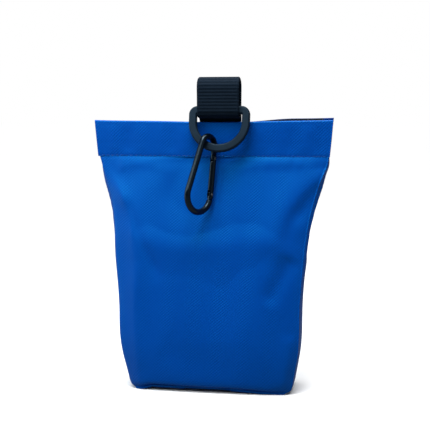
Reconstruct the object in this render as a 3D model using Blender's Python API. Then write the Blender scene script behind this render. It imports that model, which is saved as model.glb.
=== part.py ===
"""Treat pouch: flex-frame fabric bag with a webbing belt loop, a D-ring and a small carabiner.

Metres, Z up, the base centre on the floor at the origin, the D-ring side facing -Y.
"""
import math

import bmesh
import bpy
from mathutils import Matrix, Vector

# --- whole pouch -------------------------------------------------------------
MOUTH_Z = 0.158            # top edge of the closed mouth
CASING_Z = 0.137           # seam under the flex-frame casing
CASING_HALF = 0.070        # half width of the closed mouth
CASING_TAPER = 0.028       # the casing is narrower at its seam by this part
SIDE_TOP = 0.0697          # half width of the gusset at the mouth
SIDE_LOW = 0.0522          # half width where the body stops tapering
SIDE_BASE = 0.0480         # half width at the floor, before the corner is rounded
TAPER_TOP_Z = 0.145        # height where the side taper starts
TAPER_LOW_Z = 0.045        # height where it ends
CORNER_R = 0.005           # rounding of the lower corners, seen from the front
DEPTH_TOP = 0.0049         # front face in front of the middle plane, at the mouth
DEPTH_BELLY = 0.0180       # the same at the fullest height
DEPTH_BASE = 0.0165        # the same at the floor
BELLY_Z = 0.032            # height of the fullest section
SEAM_TOP = 0.0029          # side seam in front of the middle plane, at the mouth
SEAM_LOW = 0.0140          # the same at the fullest height
SEAM_BASE = 0.0130         # the same at the floor
DIP = 0.0030               # how far the side gusset folds in between its seams
DIP_LOW_Z = 0.010          # the fold starts and ends at these heights
DIP_HIGH_Z = 0.134
DEPTH_EASE = 1.20          # shape of the front profile from mouth to belly
WIDTH_EASE = 1.00          # shape of the side taper
BASE_EASE = 2.2            # shape of the side below the taper
LENS_POWER = 2.0           # plan shape of the wall at the mouth
BOX_POWER = 5.0            # plan shape of the wall at the base
ROW_EASE = 1.25            # rows of a panel are closer together near the base

# --- layers ------------------------------------------------------------------
CLOTH = 0.0007
LINING = 0.0004
GAP = 0.0003
PANEL_LOW_Z = 0.00035
PANEL_TOP_Z = CASING_Z - 0.0004
LINING_LOW_Z = 0.0019
LINING_TOP_Z = CASING_Z - 0.0010
LINING_INSET = 0.0018
SEAM_ROOM = CLOTH + GAP    # gusset edge behind the wall's outer face
GUSSET_TOP_Z = MOUTH_Z - 0.0005
LINING_GUSSET_TOP_Z = 0.134
LINING_ROOM = SEAM_ROOM + 0.0007     # lining gusset edge behind the same face
GUSSET_COLS = 7
PANEL_ROWS = 17
PANEL_COLS = 21

# --- flex frame --------------------------------------------------------------
CHANNEL = 0.0013           # clear width inside the casing
CASING_DEEP = 2 * CLOTH + CHANNEL
CASING_INNER_HALF = 0.0642
CASING_ROUND = 0.0006
STRIP_THICK = 0.0005
STRIP_OFF = CLOTH + CHANNEL / 2
STRIP_LOW_Z = 0.1445
STRIP_TOP_Z = 0.1565
KNUCKLE_LOW_Z = 0.1485
KNUCKLE_TOP_Z = 0.1525
KNUCKLE_GAP = 0.0002
KNUCKLE_R = 0.0011         # centre line of the eye round the pin
KNUCKLE_START = -125       # degrees round the pin where the eye begins and ends
KNUCKLE_STOP = 165
STRIP_HALF = 0.0636
STRIP_NECK = 0.30          # part of the way from the blade to the eye
STRIP_NECK_IN = 0.88       # and its depth as a part of the blade's
PIN_X = 0.0668
PIN_R = 0.0007
PIN_LOW_Z = 0.1442
PIN_TOP_Z = 0.1566

# --- webbing belt loop -------------------------------------------------------
WEB_X = 0.0051             # the loop sits a little right of the middle
WEB_WIDE = 0.0244
WEB_THICK = 0.0014
WEB_FRONT_Y = -0.00115     # front leg where it is sewn inside the mouth
WEB_REAR_Y = 0.00065       # rear leg
WEB_LOW_Z = 0.146
WEB_TOP_Z = 0.1830
WEB_RISE_Z = MOUTH_Z - 0.0004        # where the front leg starts to lean forward
WEB_LEAN_Y = -0.0036       # control point of its curve towards the ring's bar

# --- D-ring ------------------------------------------------------------------
RING_X = 0.0057
RING_Y = -0.0072
RING_Z = 0.1639
RING_TILT = math.radians(-12.5)
RING_R = 0.01535           # centre line of the round part
RING_DROP = 0.00680        # bar to the middle of the round part
RING_CORNER = 0.0026
RING_WIDE = 0.0046
RING_THICK = 0.0036
RING_CHAMFER = 0.0007
WRAP_R = 0.00365           # webbing centre line round the bar

# --- carabiner ---------------------------------------------------------------
WIRE_R = 0.0018
NECK_R = 0.0055            # centre line radius at the narrow end
FOOT_R = 0.0097            # centre line radius at the wide end
NECK_TO_FOOT = 0.0288
CLIP_ANGLE = math.radians(23.0)      # place on the ring, from its lowest point
CLIP_SHIFT_W = 0.0000      # away from the ring's band, in the ring's plane
CLIP_SHIFT_M = -0.0002     # along the ring's normal
CLIP_DOWN = Vector((-0.150, -0.250, -1.0))
CLIP_YAW = math.radians(58.0)
TONGUE_HALF = 0.0006
TONGUE_WIDE = 0.0016
TONGUE_ROUND = ((0.00155, 0.0005), (0.0013, 0.0009), (0.0008, 0.0013), (0.0, 0.0015))
NOSE_ROUND = ((-0.0009, 0.0016), (-0.0016, 0.0011))
NOTCH_ROOM = 0.00025       # round the latch pin in the nose's notch
STEP = 0.0001              # length of a shoulder between round bar and tongue
GATE_FROM = 0.0056         # hinge pin below the neck's centre, along the axis
GATE_R = 0.0018
GATE_TAIL = 0.0020         # gate beyond the hinge pin
GATE_LONG = 0.0235         # hinge pin to the gate's free end
LATCH_AT = 0.0211          # hinge pin to latch pin
SHOULDER_TOP = 0.0030      # end of the round bar above the hinge pin
SHOULDER_FOOT = 0.0247     # end of the round bar below it
SLOT_HALF = 0.00090
FORK_LOW = -0.0022         # floor of the fork round the frame's tongue
JAW_TOP = -0.0185          # roof of the jaw round the nose
BORE_TOP = -0.0018
BORE_LOW = -0.0100
HINGE_R = 0.00075
LATCH_R = 0.00060
RUN = 0.00005              # running clearance of a pin in its hole
PIN_SUNK = 0.0001          # pin ends below the gate's surface
SPRING_WIRE = 0.00017
SPRING_R = 0.00075
SPRING_TURNS = 5
SPRING_TOP = -0.0041
SPRING_LOW = -0.0095
BORE_R = 0.0011
PLUNGER_R = BORE_R - 0.0002
PLUNGER_LOW = -0.0038
TOOL = 0.004               # reach of a cutting tool past the wire

BLUE = (0.004, 0.075, 0.38, 1.0)
DARK = (0.010, 0.011, 0.013, 1.0)
BLACK = (0.014, 0.016, 0.020, 1.0)
STEEL = (0.45, 0.46, 0.48, 1.0)


# --- mesh helpers ------------------------------------------------------------
def material(name, color, rough, metal=0.0):
    mat = bpy.data.materials.new(name)
    mat.use_nodes = True
    shader = mat.node_tree.nodes["Principled BSDF"]
    shader.inputs["Base Color"].default_value = color
    shader.inputs["Roughness"].default_value = rough
    shader.inputs["Metallic"].default_value = metal
    return mat


def empty(name, place):
    obj = bpy.data.objects.new(name, None)
    obj.location = place
    bpy.context.scene.collection.objects.link(obj)
    return obj


def solid(name, verts, faces, mat, place=None, parent=None, smooth=True):
    """One closed body whose mesh is held relative to its own origin."""
    place = place or Matrix.Identity(4)
    back = place.inverted()
    mesh = bpy.data.meshes.new(name)
    mesh.from_pydata([back @ Vector(v) for v in verts], [], faces)
    bm = bmesh.new()
    bm.from_mesh(mesh)
    loose = [v for v in bm.verts if not v.link_faces]
    bmesh.ops.delete(bm, geom=loose, context="VERTS")
    bmesh.ops.recalc_face_normals(bm, faces=bm.faces)
    bm.to_mesh(mesh)
    bm.free()
    mesh.materials.append(mat)
    obj = bpy.data.objects.new(name, mesh)
    bpy.context.scene.collection.objects.link(obj)
    obj.matrix_world = place
    if parent:
        bpy.context.view_layer.update()
        obj.parent = parent
        obj.matrix_parent_inverse = parent.matrix_world.inverted()
    if smooth:
        for poly in mesh.polygons:
            poly.use_smooth = True
    return obj


def slab(outer, inner, keep=None):
    """Vertices and faces of a sheet with thickness, from two grids of points.

    keep(i, j) says which cells are there, so that a sheet can have notches.
    """
    rows = len(outer)
    cols = len(outer[0])
    keep = keep or (lambda i, j: True)
    verts = [p for row in outer for p in row] + [p for row in inner for p in row]
    back = rows * cols
    cells = {(i, j) for i in range(rows - 1) for j in range(cols - 1) if keep(i, j)}
    faces = []
    for i, j in sorted(cells):
        a = i * cols + j
        b = a + 1
        c = a + cols + 1
        d = a + cols
        faces.append((a, b, c, d))
        faces.append((back + d, back + c, back + b, back + a))
        sides = (((i - 1, j), a, b), ((i, j + 1), b, c), ((i + 1, j), c, d), ((i, j - 1), d, a))
        for beside, p, q in sides:
            if beside not in cells:
                faces.append((q, p, back + p, back + q))
    return verts, faces


def loft(rings, closed=False):
    """Vertices and faces of a solid through equal rings of points, capped unless closed."""
    count = len(rings[0])
    verts = [p for ring in rings for p in ring]
    faces = []
    last = len(rings) if closed else len(rings) - 1
    for k in range(last):
        here = k * count
        there = ((k + 1) % len(rings)) * count
        for i in range(count):
            j = (i + 1) % count
            faces.append((here + i, here + j, there + j, there + i))
    if not closed:
        faces.append(tuple(range(count)))
        faces.append(tuple(range((len(rings) - 1) * count, len(rings) * count)))
    return verts, faces


def spread(low, high, count, ease=1.0):
    return [low + (high - low) * (k / (count - 1)) ** ease for k in range(count)]


def even(half, count):
    """Positions from -half to half, closer together near the ends."""
    return [half * math.sin(math.pi / 2 * (2 * k / (count - 1) - 1)) for k in range(count)]


def arc(cy, cz, radius, start, stop, count):
    turn = [math.radians(start + (stop - start) * k / (count - 1)) for k in range(count)]
    return [(cy + radius * math.cos(t), cz + radius * math.sin(t)) for t in turn]


def bezier(p0, p1, p2, p3, count):
    out = []
    for k in range(count):
        t = k / (count - 1)
        w = ((1 - t) ** 3, 3 * t * (1 - t) ** 2, 3 * t * t * (1 - t), t ** 3)
        out.append(tuple(sum(w[n] * p[i] for n, p in enumerate((p0, p1, p2, p3))) for i in (0, 1)))
    return out


def sideways(path):
    """Unit normals of a plane path, on its left."""
    out = []
    for k in range(len(path)):
        a = path[max(k - 1, 0)]
        b = path[min(k + 1, len(path) - 1)]
        run = math.hypot(b[0] - a[0], b[1] - a[1])
        out.append((-(b[1] - a[1]) / run, (b[0] - a[0]) / run))
    return out


def cut(obj, tools):
    """Take the tool solids out of an object, and remove the tools."""
    for tool in tools:
        mod = obj.modifiers.new("cut", "BOOLEAN")
        mod.operation = "DIFFERENCE"
        mod.solver = "EXACT"
        mod.object = tool
    bpy.context.view_layer.update()
    graph = bpy.context.evaluated_depsgraph_get()
    mesh = bpy.data.meshes.new_from_object(obj.evaluated_get(graph))
    obj.modifiers.clear()
    old = obj.data
    obj.data = mesh
    bpy.data.meshes.remove(old)
    mesh.name = obj.name
    for tool in tools:
        bpy.data.objects.remove(tool)


# --- the shape of the bag ----------------------------------------------------
def fullness(z):
    """0 at the mouth and 1 at the belly."""
    t = min(max((CASING_Z - z) / (CASING_Z - BELLY_Z), 0.0), 1.0)
    return math.sin(math.pi / 2 * t ** DEPTH_EASE)


def below_belly(z):
    return max(0.0, (BELLY_Z - z) / BELLY_Z) ** 2


def half_depth(z):
    full = DEPTH_TOP + (DEPTH_BELLY - DEPTH_TOP) * fullness(z)
    return full - (DEPTH_BELLY - DEPTH_BASE) * below_belly(z)


def seam_depth(z):
    full = SEAM_TOP + (SEAM_LOW - SEAM_TOP) * fullness(z)
    return full - (SEAM_LOW - SEAM_BASE) * below_belly(z)


def straight_width(z):
    t = min(max((TAPER_TOP_Z - z) / (TAPER_TOP_Z - TAPER_LOW_Z), 0.0), 1.0)
    wide = SIDE_TOP + (SIDE_LOW - SIDE_TOP) * math.sin(math.pi / 2 * t ** WIDTH_EASE)
    low = max(0.0, (TAPER_LOW_Z - z) / TAPER_LOW_Z) ** BASE_EASE
    return wide - (SIDE_LOW - SIDE_BASE) * low


def half_width(z):
    if z >= CORNER_R:
        return straight_width(z)
    return straight_width(z) - CORNER_R + math.sqrt(CORNER_R ** 2 - (CORNER_R - z) ** 2)


def wall_depth(x, z):
    """Distance of the outer face of a wall from the middle plane."""
    power = LENS_POWER + (BOX_POWER - LENS_POWER) * fullness(z)
    across = min(1.0, abs(x) / straight_width(z)) ** power
    seam = seam_depth(z)
    return seam + (half_depth(z) - seam) * (1.0 - across)


def casing_depth(x):
    return SEAM_TOP + (DEPTH_TOP - SEAM_TOP) * (1.0 - (x / CASING_HALF) ** 2)


# --- walls -------------------------------------------------------------------
def wall_sheet(side, low, top, inset, skin, thick):
    """A panel: side is -1 for the front wall and 1 for the back wall."""
    outer = []
    inner = []
    for z in spread(low, top, PANEL_ROWS, ROW_EASE):
        xs = even(half_width(z) - inset, PANEL_COLS)
        outer.append([(x, side * (wall_depth(x, z) - skin), z) for x in xs])
        inner.append([(x, side * (wall_depth(x, z) - skin - thick), z) for x in xs])
    return slab(outer, inner)


def casing_profile():
    """Section of the folded hem, as points (depth behind the outer face, height)."""
    r = CASING_ROUND
    deep = CASING_DEEP
    roof = MOUTH_Z - CLOTH
    return [
        (0.0, CASING_Z),
        (0.0, MOUTH_Z - r),
        (r / 3, MOUTH_Z - r / 3),
        (CLOTH, MOUTH_Z),
        (CLOTH, roof),
        (CLOTH, CASING_Z),
        (deep - CLOTH, CASING_Z),
        (deep, CASING_Z),
        (deep, MOUTH_Z - r),
        (deep - r / 3, MOUTH_Z - r / 3),
        (deep - CLOTH, MOUTH_Z),
        (deep - CLOTH, roof),
    ]


def casing_taper(z):
    return 1.0 - CASING_TAPER * (MOUTH_Z - z) / (MOUTH_Z - CASING_Z)


def casing(side):
    """Folded hem, open below and at its ends. Its inner layer stops short of the frame's pins."""
    pts = casing_profile()
    front = (0, 1, 2, 3, 4, 5)
    rear = (3, 10, 9, 8, 7, 6, 11, 4)
    rear_edges = ((3, 10), (10, 9), (9, 8), (8, 7), (7, 6), (6, 11), (11, 4))
    front_edges = ((0, 1), (1, 2), (2, 3), (4, 5), (5, 0))
    inner = even(CASING_INNER_HALF, 23)
    ends = [CASING_INNER_HALF + (CASING_HALF - CASING_INNER_HALF) * k / 2 for k in (1, 2)]
    xs = [-x for x in reversed(ends)] + inner + ends
    verts = []
    for x in xs:
        verts += [(x * casing_taper(z), side * (casing_depth(x) - d), z) for d, z in pts]
    faces = []
    for k in range(len(xs) - 1):
        a = k * len(pts)
        b = a + len(pts)
        both = 2 <= k < len(xs) - 3
        edges = front_edges + (rear_edges if both else ((3, 4),))
        faces += [(a + p, a + q, b + q, b + p) for p, q in edges]
    last = (len(xs) - 1) * len(pts)
    faces.append(front)
    faces.append(tuple(last + p for p in front))
    for k in (2, len(xs) - 3):
        faces.append(tuple(k * len(pts) + p for p in rear))
    return verts, faces


def strip_path(side):
    """Plan of a frame strip: bowed blade with an eye rolled round the pin at each end."""
    blade = []
    for x in even(STRIP_HALF, 19):
        blade.append((x, -(casing_depth(x) - STRIP_OFF)))
    end_x, end_y = blade[-1]
    neck = (end_x + (PIN_X - STRIP_HALF) * STRIP_NECK, end_y * STRIP_NECK_IN)
    right = [neck] + arc(PIN_X, 0.0, KNUCKLE_R, KNUCKLE_START, KNUCKLE_STOP, 10)
    left = [(-x, y) for x, y in reversed(right)]
    path = left + blade + right
    return [(x, -side * y) for x, y in path], len(right)


def frame_strip(side):
    path, eye = strip_path(side)
    normals = sideways(path)
    zs = (STRIP_LOW_Z, KNUCKLE_LOW_Z, KNUCKLE_TOP_Z, STRIP_TOP_Z)
    if side > 0:
        zs = (STRIP_LOW_Z, KNUCKLE_LOW_Z + KNUCKLE_GAP, KNUCKLE_TOP_Z - KNUCKLE_GAP, STRIP_TOP_Z)
    faces = []
    for half in (STRIP_THICK / 2, -STRIP_THICK / 2):
        skin = [(x + half * nx, y + half * ny) for (x, y), (nx, ny) in zip(path, normals)]
        faces.append([[(x, y, z) for z in zs] for x, y in skin])
    last = len(path) - 1

    def keep(i, j):
        blade = eye - 1 < i < last - eye
        middle = j == 1
        return blade or middle == (side > 0)

    return slab(faces[0], faces[1], keep)


# --- gusset ------------------------------------------------------------------
def gusset_path():
    """Outline of the bag from its left top corner, round the base, to the right one."""
    side = [(half_width(z), z) for z in spread(GUSSET_TOP_Z, CORNER_R, 18)]
    low = straight_width(0.0)
    corner = []
    for x, z in arc(0.0, CORNER_R, CORNER_R, 0, -90, 6)[1:]:
        corner.append((x + straight_width(z) - CORNER_R, z))
    half = side + corner
    floor = [(low - CORNER_R) * f for f in (0.8, 0.5, 0.2)]
    right = half + [(x, 0.0) for x in floor]
    left = [(-x, z) for x, z in right]
    return left + list(reversed(right))


def side_dip(z):
    """How far the side folds in half way between its seams."""
    t = (z - DIP_LOW_Z) / (DIP_HIGH_Z - DIP_LOW_Z)
    return DIP * math.sin(math.pi * t) if 0.0 < t < 1.0 else 0.0


def gusset(top, skin, thick, room):
    """One strip up the left side, under the base and up the right side."""
    path = [p for p in gusset_path() if p[1] <= top]
    normals = sideways(path)
    outer = []
    inner = []
    for (x, z), (nx, nz) in zip(path, normals):
        if z < 1e-9:
            nx, nz = 0.0, 1.0
        reach = wall_depth(x, z) - room
        seam = wall_depth(x, z) - SEAM_ROOM
        rows = ([], [])
        for e in range(GUSSET_COLS):
            f = 2 * e / (GUSSET_COLS - 1) - 1
            part = f * reach / seam
            fold = side_dip(z) * (1 - part * part) + skin
            rows[0].append((x + nx * fold, f * reach, z + nz * fold))
            rows[1].append((x + nx * (fold + thick), f * reach, z + nz * (fold + thick)))
        outer.append(rows[0])
        inner.append(rows[1])
    return slab(outer, inner)


# --- webbing -----------------------------------------------------------------
def webbing_path():
    """Side view (y, z): up behind the casing, under and in front of the bar, over, and down again."""
    arch_r = (WEB_REAR_Y - (RING_Y - WRAP_R)) / 2
    arch_y = (WEB_REAR_Y + (RING_Y - WRAP_R)) / 2
    arch_z = WEB_TOP_Z - WEB_THICK / 2 - arch_r
    under = RING_Z - WRAP_R
    path = [(WEB_FRONT_Y, z) for z in spread(WEB_LOW_Z, WEB_RISE_Z - 0.003, 3)]
    start = (WEB_FRONT_Y, WEB_RISE_Z)
    stop = (RING_Y, under)
    path += bezier(start, (WEB_FRONT_Y, under - 0.0012), (WEB_LEAN_Y, under), stop, 9)
    path += arc(RING_Y, RING_Z, WRAP_R, -90, -180, 8)[1:]
    path += arc(arch_y, arch_z, arch_r, 180, 0, 15)
    path += [(WEB_REAR_Y, z) for z in spread(arch_z - 0.006, WEB_LOW_Z, 4)]
    return path


def webbing():
    path = webbing_path()
    half = WEB_THICK / 2
    rings = []
    for (y, z), (ny, nz) in zip(path, sideways(path)):
        ring = []
        for sx, sn in ((-1, -1), (1, -1), (1, 1), (-1, 1)):
            x = WEB_X + sx * WEB_WIDE / 2
            ring.append((x, y + sn * half * ny, z + sn * half * nz))
        rings.append(ring)
    return loft(rings)


# --- D-ring ------------------------------------------------------------------
def ring_path():
    """Centre line in the ring's own plane, the bar's middle at the origin."""
    bar = RING_R - RING_CORNER
    right = [(0.0, 0.0)] + arc(bar, -RING_CORNER, RING_CORNER, 90, 0, 5)
    bow = arc(0.0, -RING_DROP, RING_R, 0, -180, 23)
    left = arc(-bar, -RING_CORNER, RING_CORNER, 180, 90, 5)
    return right + bow + left


def ring_matrix():
    return Matrix.Translation((RING_X, RING_Y, RING_Z)) @ Matrix.Rotation(RING_TILT, 4, "X")


def d_ring():
    path = ring_path()
    wide = RING_WIDE / 2
    thick = RING_THICK / 2
    c = RING_CHAMFER
    section = [
        (wide, thick - c), (wide - c, thick), (c - wide, thick), (-wide, thick - c),
        (-wide, c - thick), (c - wide, -thick), (wide - c, -thick), (wide, c - thick),
    ]
    place = ring_matrix()
    rings = []
    count = len(path)
    for k in range(count):
        a = path[k - 1]
        b = path[(k + 1) % count]
        run = math.hypot(b[0] - a[0], b[1] - a[1])
        nx, nz = (b[1] - a[1]) / run, -(b[0] - a[0]) / run
        x, z = path[k]
        rings.append([place @ Vector((x + s * nx, t, z + s * nz)) for s, t in section])
    return loft(rings, closed=True)


# --- carabiner ---------------------------------------------------------------
def clip_matrix():
    """Frame of the carabiner: origin at its narrow end's centre, X to the gate, Z up its length."""
    place = ring_matrix()
    x = -RING_R * math.sin(CLIP_ANGLE)
    z = -RING_DROP - RING_R * math.cos(CLIP_ANGLE)
    w = Vector((math.sin(CLIP_ANGLE), 0.0, math.cos(CLIP_ANGLE)))
    local = Vector((x, 0.0, z)) + w * CLIP_SHIFT_W + Vector((0.0, CLIP_SHIFT_M, 0.0))
    up = -CLIP_DOWN.normalized()
    flat = Vector((math.cos(CLIP_YAW), math.sin(CLIP_YAW), 0.0))
    across = (flat - up * flat.dot(up)).normalized()
    normal = up.cross(across)
    turn = Matrix((across, normal, up)).transposed().to_4x4()
    return Matrix.Translation(place @ local) @ turn


def slant():
    """Angle of the carabiner's sides to its axis."""
    return math.asin((FOOT_R - NECK_R) / NECK_TO_FOOT)


def gate_matrix():
    """Frame of the gate: origin on its hinge pin, Z up along the gate."""
    tilt = slant()
    x = NECK_R * math.cos(tilt)
    z = NECK_R * math.sin(tilt)
    x += math.sin(tilt) * (GATE_FROM + z) / math.cos(tilt)
    return clip_matrix() @ Matrix.Translation((x, 0.0, -GATE_FROM)) @ Matrix.Rotation(-tilt, 4, "Y")


def ring_points(centre, out, half_in, half_across, limit):
    """Twelve-sided section in a plane through centre, cut flat at limit across."""
    pts = []
    for n in range(12):
        t = math.radians(15 + 30 * n)
        a = half_in * math.cos(t)
        b = min(max(half_across * math.sin(t), -limit), limit)
        pts.append((centre[0] + out[0] * a, b, centre[1] + out[1] * a))
    return pts


def clip_frame_rings():
    """Sections from the hinge tongue, over the narrow end and round to the nose tongue."""
    hinge = clip_matrix().inverted() @ gate_matrix()
    tilt = slant()
    turn = math.degrees(tilt)

    def on_gate_line(s):
        p = hinge @ Vector((0.0, 0.0, -s))
        return (p.x, p.z)

    line = (math.cos(tilt), math.sin(tilt))
    rings = []
    for s, wide in TONGUE_ROUND:
        rings.append(ring_points(on_gate_line(s), line, wide, WIRE_R, TONGUE_HALF))
    rings.append(ring_points(on_gate_line(-SHOULDER_TOP), line, TONGUE_WIDE, WIRE_R, TONGUE_HALF))
    rings.append(ring_points(on_gate_line(-SHOULDER_TOP - STEP), line, WIRE_R, WIRE_R, WIRE_R))
    for t in spread(turn, 180 - turn, 11):
        out = (math.cos(math.radians(t)), math.sin(math.radians(t)))
        rings.append(ring_points((out[0] * NECK_R, out[1] * NECK_R), out, WIRE_R, WIRE_R, WIRE_R))
    nose = on_gate_line(SHOULDER_FOOT)
    stop = math.degrees(math.atan2(nose[1] + NECK_TO_FOOT, nose[0])) + 360
    for t in spread(180 - turn, stop, 15):
        out = (math.cos(math.radians(t)), math.sin(math.radians(t)))
        at = (out[0] * FOOT_R, out[1] * FOOT_R - NECK_TO_FOOT)
        rings.append(ring_points(at, out, WIRE_R, WIRE_R, WIRE_R))
    rings.append(ring_points(on_gate_line(SHOULDER_FOOT - STEP), line, TONGUE_WIDE, WIRE_R, TONGUE_HALF))
    for s, wide in NOSE_ROUND:
        rings.append(ring_points(on_gate_line(LATCH_AT + s), line, wide, WIRE_R, TONGUE_HALF))
    return rings


def rod(name, place, radius, low, high, axis="Z", sides=16):
    """Plain cylinder used as a pin or a cutting tool."""
    rings = []
    for level in (low, high):
        ring = []
        for n in range(sides):
            t = 2 * math.pi * (n + 0.5) / sides
            a, b = radius * math.cos(t), radius * math.sin(t)
            point = Vector((a, b, level)) if axis == "Z" else Vector((a, level, b))
            ring.append(place @ point)
        rings.append(ring)
    verts, faces = loft(rings)
    return solid(name, verts, faces, MATS["steel"], place)


def block(name, place, low, high):
    """Plain box used as a cutting tool."""
    corners = ((low[0], low[1]), (high[0], low[1]), (high[0], high[1]), (low[0], high[1]))
    rings = [[place @ Vector((x, y, z)) for x, y in corners] for z in (low[2], high[2])]
    verts, faces = loft(rings)
    return solid(name, verts, faces, MATS["steel"], place)


def carabiner_frame(parent):
    place = clip_matrix()
    rings = [[place @ Vector(p) for p in ring] for ring in clip_frame_rings()]
    verts, faces = loft(rings)
    frame = solid("carabiner_frame", verts, faces, MATS["clip"], place, parent)
    gate = gate_matrix()
    hole = rod("tool_hole", gate, HINGE_R + RUN, -TOOL, TOOL, "Y")
    side = LATCH_R + NOTCH_ROOM
    slot = block("tool_notch", gate, (-TOOL, -TOOL, -LATCH_AT - side), (side, TOOL, -LATCH_AT + side))
    cut(frame, [hole, slot])
    return frame


def gate_body(parent):
    """Round gate with a fork at each end and a bore for its spring."""
    place = gate_matrix()
    r = GATE_R
    profile = (
        (GATE_TAIL, r * 0.60), (GATE_TAIL - 0.0004, r * 0.86), (GATE_TAIL - 0.0010, r),
        (0.0010 - GATE_LONG, r), (0.0004 - GATE_LONG, r * 0.88), (-GATE_LONG, r * 0.68),
    )
    rings = []
    for z, radius in profile:
        turn = [2 * math.pi * (n + 0.5) / 16 for n in range(16)]
        rings.append([place @ Vector((radius * math.cos(t), radius * math.sin(t), z)) for t in turn])
    verts, faces = loft(rings)
    gate = solid("carabiner_gate", verts, faces, MATS["clip"], place, parent)
    latch = place @ Matrix.Translation((0.0, 0.0, -LATCH_AT))
    tools = [
        block("tool_fork", place, (-TOOL, -SLOT_HALF, FORK_LOW), (TOOL, SLOT_HALF, TOOL)),
        block("tool_jaw", place, (-TOOL, -SLOT_HALF, -GATE_LONG - TOOL), (TOOL, SLOT_HALF, JAW_TOP)),
        rod("tool_bore", place, BORE_R, BORE_LOW, BORE_TOP),
        rod("tool_hinge", place, HINGE_R + RUN, -TOOL, TOOL, "Y"),
        rod("tool_latch", latch, LATCH_R + RUN, -TOOL, TOOL, "Y"),
    ]
    cut(gate, tools)
    return gate


def gate_spring(parent):
    """Small coil behind the plunger, inside the gate."""
    place = gate_matrix()
    steps = 12 * SPRING_TURNS
    rings = []
    for k in range(steps + 1):
        t = 2 * math.pi * k / 12
        out = Vector((math.cos(t), math.sin(t), 0.0))
        height = SPRING_TOP + (SPRING_LOW - SPRING_TOP) * k / steps
        ring = []
        for n in range(5):
            s = 2 * math.pi * n / 5
            flat = out * (SPRING_R + SPRING_WIRE * math.cos(s))
            ring.append(place @ (flat + Vector((0.0, 0.0, height + SPRING_WIRE * math.sin(s)))))
        rings.append(ring)
    verts, faces = loft(rings)
    return solid("gate_spring", verts, faces, MATS["steel"], place, parent)


def pin(name, place, radius, low, high, axis, mat, parent):
    obj = rod(name, place, radius, low, high, axis)
    obj.data.materials.clear()
    obj.data.materials.append(mat)
    bpy.context.view_layer.update()
    obj.parent = parent
    obj.matrix_parent_inverse = parent.matrix_world.inverted()
    for poly in obj.data.polygons:
        poly.use_smooth = len(poly.vertices) == 4
    return obj


# --- assembly ----------------------------------------------------------------
def build_base():
    verts, faces = gusset(GUSSET_TOP_Z, 0.0, CLOTH, SEAM_ROOM)
    solid("gusset", verts, faces, MATS["shell"])
    skin = CLOTH + GAP
    verts, faces = gusset(LINING_GUSSET_TOP_Z, skin, LINING, LINING_ROOM)
    solid("lining_gusset", verts, faces, MATS["lining"])
    root = empty("base_axis", (0.0, 0.0, 0.0))
    for name, x in (("frame_pin_left", -PIN_X), ("frame_pin_right", PIN_X)):
        place = Matrix.Translation((x, 0.0, 0.0))
        pin(name, place, PIN_R, PIN_LOW_Z, PIN_TOP_Z, "Z", MATS["steel"], root)


def build_wall(side, prefix):
    """Panel, casing, lining and frame strip of one wall, on an empty at its bottom edge."""
    pivot = Matrix.Translation((0.0, side * DEPTH_BASE, 0.0))
    axis = empty(prefix + "_axis", pivot.translation)
    bpy.context.view_layer.update()
    verts, faces = wall_sheet(side, PANEL_LOW_Z, PANEL_TOP_Z, 0.0, 0.0, CLOTH)
    solid(prefix + "_panel", verts, faces, MATS["shell"], pivot, axis)
    verts, faces = casing(side)
    solid(prefix + "_casing", verts, faces, MATS["shell"], pivot, axis)
    skin = CLOTH + GAP
    verts, faces = wall_sheet(side, LINING_LOW_Z, LINING_TOP_Z, LINING_INSET, skin, LINING)
    solid(prefix + "_lining", verts, faces, MATS["lining"], pivot, axis)
    verts, faces = frame_strip(side)
    solid(prefix + "_frame_strip", verts, faces, MATS["steel"], pivot, axis)
    return pivot, axis


def build_hardware(axis):
    verts, faces = d_ring()
    ring = solid("d_ring", verts, faces, MATS["ring"], ring_matrix(), axis, smooth=False)
    bpy.context.view_layer.update()
    frame = carabiner_frame(ring)
    gate = gate_body(frame)
    place = gate_matrix()
    reach = GATE_R - PIN_SUNK
    pin("gate_hinge_pin", place, HINGE_R, -reach, reach, "Y", MATS["steel"], frame)
    latch = place @ Matrix.Translation((0.0, 0.0, -LATCH_AT))
    pin("gate_latch_pin", latch, LATCH_R, -reach, reach, "Y", MATS["steel"], gate)
    pin("gate_plunger", place, PLUNGER_R, PLUNGER_LOW, BORE_TOP, "Z", MATS["steel"], gate)
    gate_spring(gate)


def clear_scene():
    for obj in list(bpy.data.objects):
        bpy.data.objects.remove(obj)


clear_scene()
MATS = {
    "shell": material("shell_fabric", BLUE, 0.55),
    "lining": material("lining_fabric", DARK, 0.45),
    "webbing": material("webbing", BLACK, 0.80),
    "ring": material("ring_plastic", BLACK, 0.42),
    "clip": material("clip_metal", DARK, 0.25, 0.9),
    "steel": material("spring_steel", STEEL, 0.30, 1.0),
}
build_base()
front_pivot, front_axis = build_wall(-1, "front")
build_wall(1, "back")
web_verts, web_faces = webbing()
solid("webbing_loop", web_verts, web_faces, MATS["webbing"], front_pivot, front_axis)
build_hardware(front_axis)
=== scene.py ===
"""Looks of the treat pouch: cloth walls, gusset, flex frame, webbing, D-ring and carabiner.

Metres throughout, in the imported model's frame: Z up, the D-ring side facing -Y.
"""
import math

import bmesh
import bpy
import numpy as np
from mathutils import Matrix, Vector


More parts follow.
